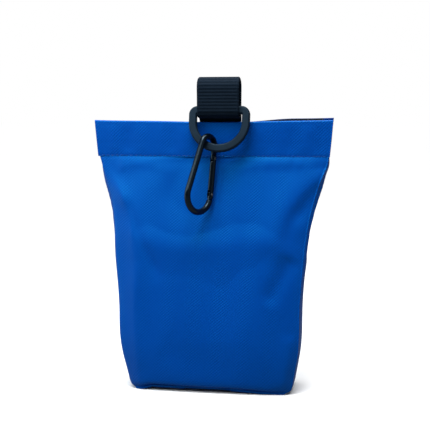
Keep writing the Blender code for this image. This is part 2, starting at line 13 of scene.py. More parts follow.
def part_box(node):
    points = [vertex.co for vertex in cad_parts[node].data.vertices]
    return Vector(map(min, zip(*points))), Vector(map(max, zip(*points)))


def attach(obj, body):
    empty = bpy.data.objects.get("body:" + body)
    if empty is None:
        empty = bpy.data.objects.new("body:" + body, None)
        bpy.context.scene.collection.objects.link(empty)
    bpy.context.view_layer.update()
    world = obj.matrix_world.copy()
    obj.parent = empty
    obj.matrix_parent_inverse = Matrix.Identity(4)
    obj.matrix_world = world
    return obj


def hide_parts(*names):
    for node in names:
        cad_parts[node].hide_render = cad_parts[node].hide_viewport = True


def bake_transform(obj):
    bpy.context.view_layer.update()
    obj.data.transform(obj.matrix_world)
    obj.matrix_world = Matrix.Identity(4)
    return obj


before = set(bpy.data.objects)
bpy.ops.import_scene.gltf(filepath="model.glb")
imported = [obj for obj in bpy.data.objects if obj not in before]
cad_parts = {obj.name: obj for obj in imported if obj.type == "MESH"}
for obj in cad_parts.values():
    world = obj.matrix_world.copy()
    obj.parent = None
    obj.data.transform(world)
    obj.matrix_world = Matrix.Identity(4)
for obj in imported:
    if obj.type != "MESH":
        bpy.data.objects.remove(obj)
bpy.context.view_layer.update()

# --- the bag's shape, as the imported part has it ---
MOUTH_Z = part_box("front_casing")[1].z
CASING_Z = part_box("front_casing")[0].z
CASING_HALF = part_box("front_casing")[1].x
DEPTH_TOP = -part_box("front_casing")[0].y
DEPTH_BELLY = -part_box("front_panel")[0].y
DEPTH_BASE = 0.0165
BELLY_Z = 0.032            # the walls are fullest here
SIDE_TOP = 0.0697          # half widths
SIDE_LOW = 0.0522
SIDE_BASE = 0.0480
TAPER_TOP_Z = 0.145
TAPER_LOW_Z = 0.045
CASING_TAPER = 0.028       # the casing is narrower at its seam by this part
CORNER_R = 0.005
SEAM_TOP = 0.0029          # half depths at the side seams
SEAM_LOW = 0.0140
SEAM_BASE = 0.0130
DEPTH_EASE = 1.20
BASE_EASE = 2.2
LENS_POWER = 2.0           # a wall's bulge is a lens at the casing
BOX_POWER = 5.0            # and nearly a box at the belly
SEAM_TUCK = 0.00022        # how far the casing's stitching draws the cloth in
DIP = 0.0030               # how far the gusset folds inwards, and between which heights
DIP_LOW_Z = 0.010
DIP_HIGH_Z = 0.134
CLOTH = 0.0007
LINING = 0.0004
FACING = 0.0006            # dark cloth on the hem's inner face
LINING_IN = 0.0011         # lining behind the shell's outer face
CASING_DEEP = 0.0027       # front to back of the folded hem
FOLD_HIGH = 0.0008         # the fold at the mouth is pressed flat
CASING_INNER_HALF = 0.0642
HEM_RIGHT = 1.007          # the hem reaches a little further on the right

# --- grids ---
SIM_ROWS = 53
SIM_COLS = 45
SIM_ACROSS = 9
CORNER_SHARE = 5 / 52      # share of a wall's rows that lie in its rounded corner
WALL_ROWS = 118
WALL_COLS = 113
LINING_ROWS = 54
LINING_COLS = 57
GUSSET_ACROSS = 19
RISE_ROWS = 13             # rows of the gusset between the casings
SIM_SCALE = 10.0
SIM_FRAMES = 24
FLOOR_GAP = 0.0001         # no shell cloth comes nearer to the floor
LINING_FLOOR = 0.0016      # and no lining
PIN_SOFT = 0.004           # cloth this far under the casing is held by it in the simulation
FOOT_HOLD = 0.9
FRONT_CALM = 26            # rounds of smoothing of the simulated drape
BACK_CALM = 5
CLOTH_SETTINGS = {
    "quality": 7, "mass": 0.25, "tension_stiffness": 22, "compression_stiffness": 22,
    "shear_stiffness": 9, "bending_stiffness": 1.1, "tension_damping": 6, "compression_damping": 6,
    "bending_damping": 0.6, "air_damping": 3, "shrink_min": -0.022, "use_pressure": True,
    "uniform_pressure_force": 0.7, "vertex_group_mass": "pins",
}
TINY = 1e-12
DRAPE_CAP = 0.0036         # the drape moves no point further than this
STITCH_Z = CASING_Z + 0.0007
STRIP_THICK = 0.0005
STRIP_OFF = 0.00135        # steel behind the casing's outer face
STRIP_HALF = 0.0636
STRIP_LOW_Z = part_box("front_frame_strip")[0].z
STRIP_TOP_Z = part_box("front_frame_strip")[1].z
KNUCKLE_LOW_Z = 0.1487     # the back strip's middle eye
KNUCKLE_TOP_Z = 0.1523
KNUCKLE_R = 0.0011
PIN_X = (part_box("frame_pin_right")[0].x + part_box("frame_pin_right")[1].x) / 2

# --- webbing, ring and carabiner, as packed ---
WEB_X = (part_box("webbing_loop")[0].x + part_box("webbing_loop")[1].x) / 2
WEB_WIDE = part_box("webbing_loop")[1].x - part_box("webbing_loop")[0].x
WEB_LOW_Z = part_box("webbing_loop")[0].z
WEB_TOP_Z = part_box("webbing_loop")[1].z
WEB_THICK = 0.0014
WEB_FRONT_Y = -0.00115
WEB_REAR_Y = 0.00065
RIB = 0.00185              # pitch of the webbing's ribs
SELVAGE = 0.0011           # width of its two edges
BOX_HALF = 0.0098          # box stitch on the webbing
BOX_Z = (0.1475, 0.1562)
RING_X = 0.0057
RING_Y = -0.0072
RING_Z = 0.1639
RING_TILT = math.radians(-12.5)
RING_R = 0.01535
RING_DROP = 0.0068
RING_CORNER = 0.0026
RING_WIDE = 0.0046
RING_THICK = 0.0036
RING_CHAMFER = 0.0007
WRAP_R = 0.00365           # the webbing's bend round the ring's bar
WIRE_R = 0.0018
NECK_R = 0.0055
FOOT_R = 0.0097
NECK_TO_FOOT = 0.0288
CLIP_ANGLE = math.radians(23.0)     # where the carabiner hangs on the ring's bow
CLIP_SHIFT = -0.0002
CLIP_DOWN = Vector((-0.150, -0.250, -1.0))
CLIP_YAW = math.radians(58.0)
TONGUE_HALF = 0.0006       # the wire's flat ends inside the gate
TONGUE_WIDE = 0.0016
GATE_FROM = 0.0056         # hinge pin below the narrow end's centre
GATE_R = 0.0018
GATE_TAIL = 0.0020
GATE_LONG = 0.0235
LATCH_AT = 0.0211
LATCH_R = 0.0006
SHOULDER_TOP = 0.0030
SHOULDER_FOOT = 0.0247
SLOT_HALF = 0.0009
RIVETS = (("hinge_rivet", 0.0, 0.00095, "carabiner"), ("latch_rivet", LATCH_AT, 0.00080, "gate"))
# the wire's two flattened ends: place along the gate, half width
HINGE_TONGUE = ((0.00155, 0.0004), (0.00145, 0.0007), (0.0012, 0.0010), (0.0007, 0.0013), (0.0, 0.0015))
LATCH_TONGUE = (
    (SHOULDER_FOOT - 0.00015, TONGUE_WIDE), (LATCH_AT - 0.0009, 0.0016), (LATCH_AT - 0.0013, 0.00145),
    (LATCH_AT - 0.0016, 0.0011),
)

# --- weaves ---
YARN_U = 0.00106           # spacing of the shell's yarns
YARN_V = 0.00084
SLANT_PITCH = 0.00186      # spacing and lean of the weave's slant lines
SLANT_LEAN = -1.115
LINING_PITCH = 0.0050      # ripstop grid of the lining, and how thin its lines are
LINING_SHARP = 26.0

# --- camera and light ---
VIEW_AZIMUTH = 9.0
VIEW_ELEVATION = 6.0
VIEW_DISTANCE = 0.530
LOOK_AT_Z = 0.1026
LOOK_ASIDE = 0.00177
LENS = 75.2
AMBIENT = 0.12             # light from all round
BACKDROP = 1.0             # and the white that the camera sees
SUN_STRENGTH = 3.1
SUN_WIDTH = math.radians(50)
LAMP_AIM = Vector((0.0, 0.0, 0.10))
LAMPS = (
    # name, azimuth and height in degrees, distance, width and height in metres, watts, colour
    ("key", -48, 33, 0.45, 0.16, 0.16, 0.47, (1.0, 0.99, 0.97)),
    ("high", -14, 66, 0.40, 0.22, 0.18, 1.34, (1.0, 1.0, 1.0)),
    ("side", -84, 12, 0.60, 0.20, 0.45, 1.10, (0.62, 0.90, 1.0)),
    ("sheen", -10, 40, 0.70, 0.40, 0.22, 0.90, (1.0, 1.0, 1.0)),
    ("fill", 52, 22, 0.95, 0.50, 0.70, 0.50, (0.75, 0.95, 1.0)),
    ("rear", 170, 38, 1.00, 0.60, 0.50, 1.2, (1.0, 1.0, 1.0)),
)
FLOOR_SIZE = 30.0
FLOOR_BOUNCE = 0.22        # share of the floor's brightness that lights the object

# --- folds ---
PUFF_SLOPE = 0.272         # lean of the front below the casing
PUFF_END = 0.039           # drop below the casing where it starts to turn upright
PUFF_TURN = 0.012
UPRIGHT_SLOPE = -0.004
PUFF_LATE = 0.0030         # the pillow starts this much lower beside its two lobes
LOBES = ((-0.0430, 0.0200), (0.0400, 0.0230))     # their places and widths
ROLL = 0.0006              # quick swell right under the seam
ROLL_REACH = 0.0035
STRIP_FROM_Z = 0.131       # the left crease starts here, and eases in over this
STRIP_EASE = 0.020
CREASE_Z = (0.0, 0.034, 0.0615, 0.078, 0.102, 0.115, 0.130, 0.137)
CREASE_X = (0.041, 0.042, 0.0427, 0.0405, 0.0480, 0.0540, 0.0610, 0.0640)
CREASE_SOFT = 0.03         # how round it is
HARDWARE_GAP = 0.0003      # depth of the dent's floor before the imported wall
HARDWARE_NECK = (-0.0008, 0.1435, 0.0085)   # the carabiner's two ends: x, z and radius
HARDWARE_FOOT = (-0.0102, 0.1175, 0.0122)
HARDWARE_FADE = 0.032      # folds are weaker within this distance of it
HARDWARE_RISE = 0.23       # slope of the wall out of the dent behind the carabiner
HARDWARE_EASE = 0.0020
LIMIT_SOFT = 0.0024        # rounding between the dent and the pillow
PUCKER = 0.00009           # relief of the small gathers under the hem
FOOT_LIFT = 0.0022         # the front's lower edge is drawn up by this between its feet
BASE_SUNK = 0.00025        # the base's middle stands off the floor by this
END_LIFT = 0.0004          # the mouth's edge: its ends, the front's sag, and the back's ear and rise
FRONT_SAG = 0.0008
BACK_EAR = 0.0012
BACK_RISE = 0.0021
BACK_SINK = 0.0009
STEEL_SHOWS = 0.00006      # relief of the hem
HEM_RIPPLE = 0.00013
HEM_GATHER = 0.00006
EDGE_ROLL = 0.00022        # rounding of a wall's edge beside the gusset's seam
EDGE_REACH = 0.0011
EDGE_SPREAD = 0.4          # share of it that goes sideways

# --- colours, linear ---
# light and deep ends of the shell's colour: the weave's painted yarn shading and random tone mix between
# them
BLUE = (0.0004, 0.055, 0.42)
BLUE_DEEP = (0.0002, 0.035, 0.30)
CASING_BLUE = (0.0004, 0.060, 0.43)
# paler blue of worn cloth, also used for the highlight painted under the casing's seam
BLUE_WORN_AND_HIGHLIGHT = (0.002, 0.110, 0.47)
BLUE_THREAD = (0.001, 0.070, 0.36)
SPECULAR_BLUE = (0.0, 0.75, 1.0)
LINING_BLACK = (0.0042, 0.0050, 0.0072)
WEB_DARK = (0.0006, 0.0014, 0.0040)
WEB_LIGHT = (0.0045, 0.0105, 0.0220)
RING_BLACK = (0.0030, 0.0075, 0.0150)
RING_RUBBED = (0.0080, 0.0150, 0.0250)
CLIP_BLACK = (0.0010, 0.0022, 0.0045)
DARK_GLOSS = (0.45, 0.75, 1.0)   # tint of the reflections on dark plastic, paint and webbing
LINING_GRID = (0.014, 0.016, 0.021)
CLIP_SCRATCH = (0.012, 0.018, 0.026)
SPRING_STEEL = (0.20, 0.22, 0.26)
PIN_STEEL = (0.10, 0.11, 0.125)
BLACK_THREAD = (0.010, 0.013, 0.018)


# --- small helpers ---
def clamp(t):
    return np.clip(t, 0.0, 1.0)


def smooth(t):
    t = clamp(t)
    return t * t * (3 - 2 * t)


def bump(t):
    """1 at 0, falling smoothly to nothing at about 2."""
    return np.exp(-np.square(t))


def norm(v):
    return np.linalg.norm(v, axis=-1, keepdims=True)


def unit(v):
    return v / np.maximum(norm(v), TINY)


def capped(shift):
    """The simulated movement, no longer than DRAPE_CAP anywhere."""
    return shift * np.minimum(1.0, DRAPE_CAP / np.maximum(norm(shift), 1e-9))


def grid_quads(ids):
    """Four corner numbers of each cell of a grid of numbers."""
    return np.stack([ids[:-1, :-1], ids[:-1, 1:], ids[1:, 1:], ids[1:, :-1]], -1).reshape(-1, 4)


def link(obj):
    bpy.context.scene.collection.objects.link(obj)
    return obj


# --- materials ---
class Paint:
    """A node material under construction."""

    def __init__(self, name):
        self.mat = bpy.data.materials.new(name)
        self.mat.use_nodes = True
        self.tree = self.mat.node_tree
        self.shader = self.tree.nodes["Principled BSDF"]

    def wire(self, value, socket):
        if isinstance(value, bpy.types.NodeSocket):
            self.tree.links.new(value, socket)
        elif value is not None:
            socket.default_value = value

    def node(self, kind, inputs=(), out=0, **settings):
        made = self.tree.nodes.new(kind)
        for key, value in settings.items():
            setattr(made, key, value)
        for key, value in dict(inputs).items():
            self.wire(value, made.inputs[key])
        return made.outputs[out]

    def math(self, operation, *values):
        return self.node("ShaderNodeMath", enumerate(values), operation=operation)

    def add(self, a, b):
        return self.math("ADD", a, b)

    def times(self, a, b):
        return self.math("MULTIPLY", a, b)

    def fit(self, a, factor, extra):
        """a times a factor, plus something extra."""
        return self.math("MULTIPLY_ADD", a, factor, extra)

    def place(self):
        """The piece's object coordinates."""
        return self.node("ShaderNodeTexCoord", out=3)

    def noise(self, place, scale, detail=3.0, rough=0.55):
        inputs = {"Vector": place, "Scale": scale, "Detail": detail, "Roughness": rough}
        return self.node("ShaderNodeTexNoise", inputs)

    def wave(self, along, pitch, shift=0.0):
        """0 to 1 sine of a length in metres."""
        turn = self.fit(along, 2 * math.pi / pitch, shift)
        return self.fit(self.math("SINE", turn), 0.5, 0.5)

    def mix(self, part, a, b):
        made = self.tree.nodes.new("ShaderNodeMix")
        made.data_type = "RGBA"
        self.wire(part, made.inputs[0])
        self.wire((*a, 1.0) if isinstance(a, tuple) else a, made.inputs[6])
        self.wire((*b, 1.0) if isinstance(b, tuple) else b, made.inputs[7])
        return made.outputs[2]

    def spread(self, value, low, high, to_low=0.0, to_high=1.0):
        inputs = {0: value, 1: low, 2: high, 3: to_low, 4: to_high}
        return self.node("ShaderNodeMapRange", inputs)

    def range(self, noise, to_low=0.0, to_high=1.0):
        """A noise's usual values, .3 to .7, spread over another range."""
        return self.spread(noise, 0.3, 0.7, to_low, to_high)

    def split(self, place):
        made = self.tree.nodes.new("ShaderNodeSeparateXYZ")
        self.wire(place, made.inputs[0])
        return made.outputs

    def uv(self):
        """The piece's own cloth coordinates, in metres, and its two parts."""
        place = self.node("ShaderNodeUVMap", uv_map="UVMap")
        parts = self.split(place)
        return place, parts[0], parts[1]

    def attribute(self, name):
        return self.node("ShaderNodeAttribute", out=2, attribute_name=name)

    def relief(self, layers):
        """Chain of bumps from (height, depth in metres, strength)."""
        normal = None
        for height, depth, strength in layers:
            inputs = {"Height": height, "Distance": depth, "Strength": strength}
            if normal is not None:
                inputs["Normal"] = normal
            normal = self.node("ShaderNodeBump", inputs)
        self.wire(normal, self.shader.inputs["Normal"])

    def set(self, **inputs):
        for key, value in inputs.items():
            name = key.replace("_", " ")
            if isinstance(value, tuple) and len(value) == 3:
                value = (*value, 1.0)
            self.wire(value, self.shader.inputs[name])
        return self.mat


def shell_material(name, deep, light, gloss):
    """Coated polyester in a plain weave, whose slant lines rise to the right; the weave's light and dark
    lines in its colour are painted shading of the yarns.
    """
    p = Paint(name)
    place, u, v = p.uv()
    sway = p.noise(place, 55.0, 2.0)
    drift = p.fit(sway, 0.0004, -0.0002)
    across = p.math("SINE", p.times(p.add(u, drift), math.pi / YARN_U))
    along = p.math("SINE", p.times(p.add(v, drift), math.pi / YARN_V))
    cell = p.fit(p.times(across, along), 0.5, 0.5)
    line = p.add(p.fit(v, SLANT_LEAN, u), drift)
    slant = p.wave(line, SLANT_PITCH)
    weave = p.add(p.times(cell, 0.45), p.times(slant, 0.55))
    over = p.math("GREATER_THAN", cell, 0.5)
    strand = p.mix(over, p.wave(u, 0.00016), p.wave(v, 0.00014))
    fibre = p.noise(place, 5200.0, 2.0)
    cloud = p.noise(place, 26.0, 4.0)
    patch = p.noise(place, 9.0, 2.0)
    wear = p.attribute("wear")
    # the weave and strand terms paint the yarns' shading into the colour; cloud and patch add random tone
    shade = p.fit(weave, 0.95, -0.24)
    shade = p.fit(strand, 0.08, shade)
    shade = p.add(shade, p.range(cloud, 0.0, 0.18))
    shade = p.add(shade, p.range(patch, 0.0, 0.16))
    color = p.mix(shade, deep, light)
    # worn places lighten towards a paler blue; on the walls this also paints the highlight under the
    # casing's seam
    worn_and_highlit = p.times(wear, p.spread(fibre, 0.35, 0.7, 0.25, 1.0))
    color = p.mix(p.times(worn_and_highlit, 0.16), color, BLUE_WORN_AND_HIGHLIGHT)
    rough = p.fit(weave, -0.12, 0.56)
    rough = p.add(rough, p.range(cloud, -0.04, 0.04))
    p.relief([
        (weave, 0.00014, 0.65), (strand, 0.00002, 0.35), (fibre, 0.00003, 0.25), (cloud, 0.0004, 0.12),
    ])
    p.set(Base_Color=color, Roughness=rough)
    return p.set(Specular_IOR_Level=gloss, Specular_Tint=SPECULAR_BLUE)


def lining_material():
    """Black wipe-clean lining with a faint ripstop grid."""
    p = Paint("lining_coated")
    place, u, v = p.uv()
    columns = p.math("POWER", p.wave(u, LINING_PITCH), LINING_SHARP)
    lines = p.math("POWER", p.wave(v, LINING_PITCH), LINING_SHARP)
    grid = p.math("MAXIMUM", columns, lines)
    yarn = p.times(p.wave(u, 0.0004), p.wave(v, 0.0004, 1.57))
    cloud = p.noise(place, 40.0, 4.0)
    pale = p.fit(grid, 0.5, p.times(yarn, 0.3))
    color = p.mix(pale, LINING_BLACK, LINING_GRID)
    rough = p.range(cloud, 0.58, 0.74)
    p.relief([(grid, 0.00010, 0.5), (yarn, 0.00004, 0.4), (cloud, 0.0006, 0.15)])
    p.set(Base_Color=color, Roughness=rough)
    return p.set(Specular_IOR_Level=0.07, Specular_Tint=DARK_GLOSS)


def webbing_material():
    """Ribbed polyester webbing: the ribs are modelled, the yarns between them are here."""
    p = Paint("webbing_ribbed")
    place, u, v = p.uv()
    rib = p.wave(v, RIB, 1.57)
    half = p.math("GREATER_THAN", p.math("SINE", p.times(v, math.pi / RIB)), 0.0)
    yarn = p.wave(p.fit(half, 0.00036, u), 0.00072)
    slope = p.wave(p.add(p.times(u, 0.6), v), 0.00046)
    fuzz = p.noise(place, 3600.0, 3.0)
    cloud = p.noise(place, 120.0, 3.0)
    high = p.fit(rib, 0.75, 0.25)
    tone = p.times(high, p.fit(yarn, 0.55, 0.30))
    tone = p.add(tone, p.spread(fuzz, 0.35, 0.75, 0.0, 0.25))
    tone = p.add(tone, p.range(cloud, -0.08, 0.12))
    color = p.mix(tone, WEB_DARK, WEB_LIGHT)
    p.relief([
        (rib, 0.00010, 0.5), (yarn, 0.00014, 0.7), (slope, 0.00005, 0.4), (fuzz, 0.00006, 0.35),
    ])
    p.set(Base_Color=color, Roughness=p.range(fuzz, 0.62, 0.85))
    p.set(Specular_IOR_Level=0.14, Specular_Tint=DARK_GLOSS)
    return p.set(Sheen_Weight=0.03, Sheen_Roughness=0.5, Sheen_Tint=(0.25, 0.42, 0.70))


def ring_material():
    """Moulded black acetal with a fine grain and rubbed edges."""
    p = Paint("ring_moulded")
    place = p.place()
    grain = p.noise(place, 2600.0, 2.0)
    flow = p.noise(place, 160.0, 4.0)
    rub = p.spread(p.node("ShaderNodeNewGeometry", out=7), 0.52, 0.60)
    color = p.mix(p.range(flow), RING_BLACK, tuple(1.35 * c for c in RING_BLACK))
    color = p.mix(p.times(rub, 0.6), color, RING_RUBBED)
    rough = p.add(p.range(flow, 0.40, 0.50), p.times(rub, -0.08))
    p.relief([(grain, 0.00003, 0.30), (flow, 0.00010, 0.10)])
    p.set(Base_Color=color, Roughness=rough)
    return p.set(Specular_IOR_Level=0.24, Specular_Tint=DARK_GLOSS)


def clip_material():
    """Glossy black finish on the carabiner, with fine scratches and dulled patches."""
    p = Paint("clip_black")
    place = p.place()
    stretch = p.node("ShaderNodeMapping", {"Vector": place, "Scale": (1.0, 1.0, 0.12)})
    scratch = p.noise(stretch, 2400.0, 4.0, 0.7)
    dull = p.noise(place, 220.0, 3.0)
    fine = p.spread(scratch, 0.60, 0.72)
    color = p.mix(p.times(fine, 0.25), CLIP_BLACK, CLIP_SCRATCH)
    rough = p.add(p.range(dull, 0.15, 0.25), p.times(fine, 0.12))
    p.relief([(scratch, 0.00002, 0.22), (dull, 0.00010, 0.06)])
    p.set(Base_Color=color, Roughness=rough)
    p.set(Specular_IOR_Level=0.30, Specular_Tint=DARK_GLOSS)
    return p.set(Coat_Weight=0.06, Coat_Roughness=0.10, Coat_Tint=(0.8, 0.9, 1.0))


def steel_material(name, color, low, high):
    """Brushed steel: streaks along the part, with a few darker stains."""
    p = Paint(name)
    place = p.place()
    stretch = p.node("ShaderNodeMapping", {"Vector": place, "Scale": (0.06, 1.0, 1.0)})
    streak = p.noise(stretch, 3800.0, 3.0, 0.65)
    stain = p.noise(place, 300.0, 3.0)
    tint = p.mix(p.spread(stain, 0.45, 0.75, 0.0, 0.5), color, tuple(0.55 * c for c in color))
    rough = p.range(streak, low, high)
    p.relief([(streak, 0.00002, 0.35)])
    return p.set(Base_Color=tint, Roughness=rough, Metallic=0.92)


def thread_material(name, color):
    """Twisted sewing thread."""
    p = Paint(name)
    place = p.place()
    x, _, z = p.split(place)
    slant = p.add(x, p.times(z, 1.6))
    ply = p.wave(slant, 0.00042)
    fuzz = p.noise(place, 4200.0, 2.0)
    shade = p.add(p.times(ply, 0.6), p.range(fuzz, 0.0, 0.4))
    dark, pale = tuple(0.55 * c for c in color), tuple(1.25 * c for c in color)
    tint = p.mix(shade, dark, pale)
    p.relief([(ply, 0.00006, 0.8), (fuzz, 0.00003, 0.4)])
    return p.set(Base_Color=tint, Roughness=0.62, Specular_IOR_Level=0.25, Sheen_Weight=0.2)


# --- the bag's surfaces ---
def fullness(z):
    """0 at the casing's seam, 1 at the belly."""
    t = clamp((CASING_Z - z) / (CASING_Z - BELLY_Z))
    return np.sin(math.pi / 2 * t ** DEPTH_EASE)


def below_belly(z):
    return np.clip((BELLY_Z - z) / BELLY_Z, 0.0, None) ** 2


def half_depth(z):
    full = DEPTH_TOP + (DEPTH_BELLY - DEPTH_TOP) * fullness(z)
    return full - (DEPTH_BELLY - DEPTH_BASE) * below_belly(z)


def seam_depth(z):
    full = SEAM_TOP + (SEAM_LOW - SEAM_TOP) * fullness(z)
    return full - (SEAM_LOW - SEAM_BASE) * below_belly(z)


def straight_width(z):
    t = clamp((TAPER_TOP_Z - z) / (TAPER_TOP_Z - TAPER_LOW_Z))
    wide = SIDE_TOP + (SIDE_LOW - SIDE_TOP) * np.sin(math.pi / 2 * t)
    low = np.clip((TAPER_LOW_Z - z) / TAPER_LOW_Z, 0.0, None) ** BASE_EASE
    return wide - (SIDE_LOW - SIDE_BASE) * low


def wall_depth(x, z):
    power = LENS_POWER + (BOX_POWER - LENS_POWER) * fullness(z)
    across = clamp(np.abs(x) / straight_width(z)) ** power
    seam = seam_depth(z)
    return seam + (half_depth(z) - seam) * (1.0 - across)


def front_middle(z):
    """Front face at the wall's middle: leaning back under the casing, upright further down."""
    drop = np.linspace(0.0, CASING_Z, 500)
    slope = PUFF_SLOPE * (1 - smooth((drop - PUFF_END) / PUFF_TURN)) + UPRIGHT_SLOPE
    slope += ROLL / ROLL_REACH * np.exp(-drop / ROLL_REACH)
    depth = DEPTH_TOP + np.cumsum(slope) * drop[1]
    return np.interp(CASING_Z - z, drop, depth) - (DEPTH_BELLY - DEPTH_BASE) * below_belly(z)


def front_depth(x, z):
    """Front wall: a pillow under the casing, and a strip facing left beyond the left crease."""
    half, seam = straight_width(z), seam_depth(z)
    power = LENS_POWER + (BOX_POWER - LENS_POWER) * fullness(z)
    plain = 1.0 - clamp(np.abs(x) / half) ** power
    edge = np.interp(z, CREASE_Z, CREASE_X)
    past = (-x - edge) / (half - edge)
    ramp = (past + np.sqrt(past * past + CREASE_SOFT)) / (1 + math.sqrt(1 + CREASE_SOFT))
    strip = 1.0 - clamp(ramp)
    part = smooth((STRIP_FROM_Z - z) / STRIP_EASE) * smooth(-x / STRIP_EASE)
    shape = plain + (strip - plain) * part
    lobes = np.maximum(*(bump((x - middle) / wide) for middle, wide in LOBES))
    late = PUFF_LATE * (1 - lobes) * smooth((CASING_Z - z) / 0.004)
    puffed = seam + (front_middle(z + late) - seam) * shape
    away = hardware_distance(x, z)
    away = (away + np.hypot(away, HARDWARE_EASE)) / 2
    limit = wall_depth(x, z) + HARDWARE_GAP + HARDWARE_RISE * away
    return (puffed + limit - np.hypot(puffed - limit, LIMIT_SOFT)) / 2


def casing_taper(z):
    return 1 - CASING_TAPER * clamp((MOUTH_Z - z) / (MOUTH_Z - CASING_Z))


def hem_x(x, z):
    return x * casing_taper(z) * np.where(x > 0, HEM_RIGHT, 1.0)


def casing_depth(x):
    return SEAM_TOP + (DEPTH_TOP - SEAM_TOP) * (1.0 - (x / CASING_HALF) ** 2)


def edge_of_wall(v):
    """Half width and height of a wall's edge, for v from 0 at the floor to 1 at the casing seam."""
    v = np.asarray(v, float)
    turn = clamp(v / CORNER_SHARE) * math.pi / 2
    above = clamp((v - CORNER_SHARE) / (1 - CORNER_SHARE))
    z = CORNER_R * (1 - np.cos(turn)) + (CASING_Z - CORNER_R) * above
    return straight_width(z) - CORNER_R * (1 - np.sin(turn)), z


def wall_rest(u, v, side):
    """Outer face of a wall before it is draped; side is -1 for the front and 1 for the back."""
    u, v = np.meshgrid(u, v)
    half, z = edge_of_wall(v)
    x = u * half
    depth = front_depth(x, z) if side < 0 else wall_depth(x, z)
    return np.stack([x, side * depth, z], -1)


def gusset_frame(side_steps, base_steps):
    """(Which run, position) round the bag, from the left top, under the base, to the right top."""
    left = [("left", v) for v in np.linspace(1, 0, side_steps)]
    base = [("base", u) for u in np.linspace(-1, 1, base_steps)[1:-1]]
    right = [("right", v) for v in np.linspace(0, 1, side_steps)]
    return left + base + right


def gusset_rest(run, across):
    """Outer face of the gusset; across runs from -1 at the front seam to 1 at the back seam."""
    rows = []
    for where, t in run:
        u, v = (t, 0.0) if where == "base" else ((-1 if where == "left" else 1), t)
        half, z = edge_of_wall(v)
        x = u * half
        depth = wall_depth(x, z)
        rise = (z - DIP_LOW_Z) / (DIP_HIGH_Z - DIP_LOW_Z)
        fold = DIP * math.sin(math.pi * rise) if 0 < rise < 1 else 0.0
        rows.append([(x - u * fold * (1 - f * f), f * depth, z) for f in across])
    return np.array(rows, float)


def drape():
    """Cloth simulation of the whole body: how far the points of front, back and gusset move."""
    us = np.linspace(-1, 1, SIM_COLS)
    vs = np.linspace(0, 1, SIM_ROWS)
    across = np.linspace(-1, 1, SIM_ACROSS)
    front = wall_rest(us, vs, -1)
    back = wall_rest(us, vs, 1)
    run = gusset_frame(SIM_ROWS, SIM_COLS)
    gusset = gusset_rest(run, across)
    count = SIM_ROWS * SIM_COLS
    front_ids = np.arange(count).reshape(SIM_ROWS, SIM_COLS)
    back_ids = front_ids + count
    inner = len(run) * (SIM_ACROSS - 2)
    side_ids = np.zeros((len(run), SIM_ACROSS), int)
    side_ids[:, 1:-1] = np.arange(2 * count, 2 * count + inner).reshape(len(run), -1)
    for column, ids in ((0, front_ids), (-1, back_ids)):
        border = list(ids[::-1, 0]) + list(ids[0, 1:-1]) + list(ids[:, -1])
        side_ids[:, column] = border
    points = np.concatenate([grid.reshape(-1, 3) for grid in (front, back, gusset[:, 1:-1])])
    faces = [grid_quads(front_ids), grid_quads(back_ids)[:, ::-1], grid_quads(side_ids)]
    shift = simulate(points, np.concatenate(faces).tolist()) - points
    return (
        shift[front_ids.ravel()].reshape(front.shape),
        shift[back_ids.ravel()].reshape(back.shape),
        shift[side_ids.ravel()].reshape(gusset.shape),
    )


def simulate(points, faces):
    """Points of the body after a short, slightly puffed and oversized cloth simulation."""
    scene = bpy.context.scene
    mesh = bpy.data.meshes.new("drape")
    mesh.from_pydata((points * SIM_SCALE).tolist(), [], faces)
    obj = link(bpy.data.objects.new("drape", mesh))
    pins = obj.vertex_groups.new(name="pins")
    for index, z in enumerate(points[:, 2]):
        hold = float(smooth((z - (CASING_Z - PIN_SOFT)) / PIN_SOFT))
        if z < 0.0004:
            hold = FOOT_HOLD
        if hold > 0:
            pins.add([index], hold, "REPLACE")
    cloth = obj.modifiers.new("cloth", "CLOTH")
    for key, value in CLOTH_SETTINGS.items():
        setattr(cloth.settings, key, value)
    cloth.collision_settings.use_collision = False
    cloth.point_cache.frame_start = 1
    cloth.point_cache.frame_end = SIM_FRAMES
    for step in range(1, SIM_FRAMES + 1):
        scene.frame_set(step)
    graph = bpy.context.evaluated_depsgraph_get()
    done = obj.evaluated_get(graph)
    out = np.array([v.co for v in done.data.vertices], float) / SIM_SCALE
    scene.frame_set(1)
    bpy.data.objects.remove(obj)
    bpy.data.meshes.remove(mesh)
    return out


def resample(grid, rows, cols):
    """Smooth (Catmull-Rom) enlargement of a grid of vectors to rows by cols."""
    def along(data, count):
        t = np.linspace(0, len(data) - 1, count)
        k = np.clip(t.astype(int), 0, len(data) - 2)
        f = (t - k).reshape((-1,) + (1,) * (data.ndim - 1))
        p0 = data[np.clip(k - 1, 0, None)]
        p1 = data[k]
        p2 = data[k + 1]
        p3 = data[np.clip(k + 2, None, len(data) - 1)]
        curve = 2 * p1 + (p2 - p0) * f + (2 * p0 - 5 * p1 + 4 * p2 - p3) * f ** 2
        return 0.5 * (curve + (3 * p1 - p0 - 3 * p2 + p3) * f ** 3)
    tall = along(grid, rows)
    return along(tall.swapaxes(0, 1), cols).swapaxes(0, 1)


def hardware_distance(x, z):
    """How far a point of the wall lies outside the carabiner's outline, a wedge with round ends."""
    ax, az, narrow = HARDWARE_NECK
    bx, bz, wide = HARDWARE_FOOT
    dx, dz = bx - ax, bz - az
    t = clamp(((x - ax) * dx + (z - az) * dz) / (dx * dx + dz * dz))
    return np.hypot(x - ax - t * dx, z - az - t * dz) - narrow - (wide - narrow) * t


def hardware_room(x, z):
    """1 where the carabiner presses on the wall, falling to 0 round it."""
    return smooth(1.0 - hardware_distance(x, z) / HARDWARE_FADE)


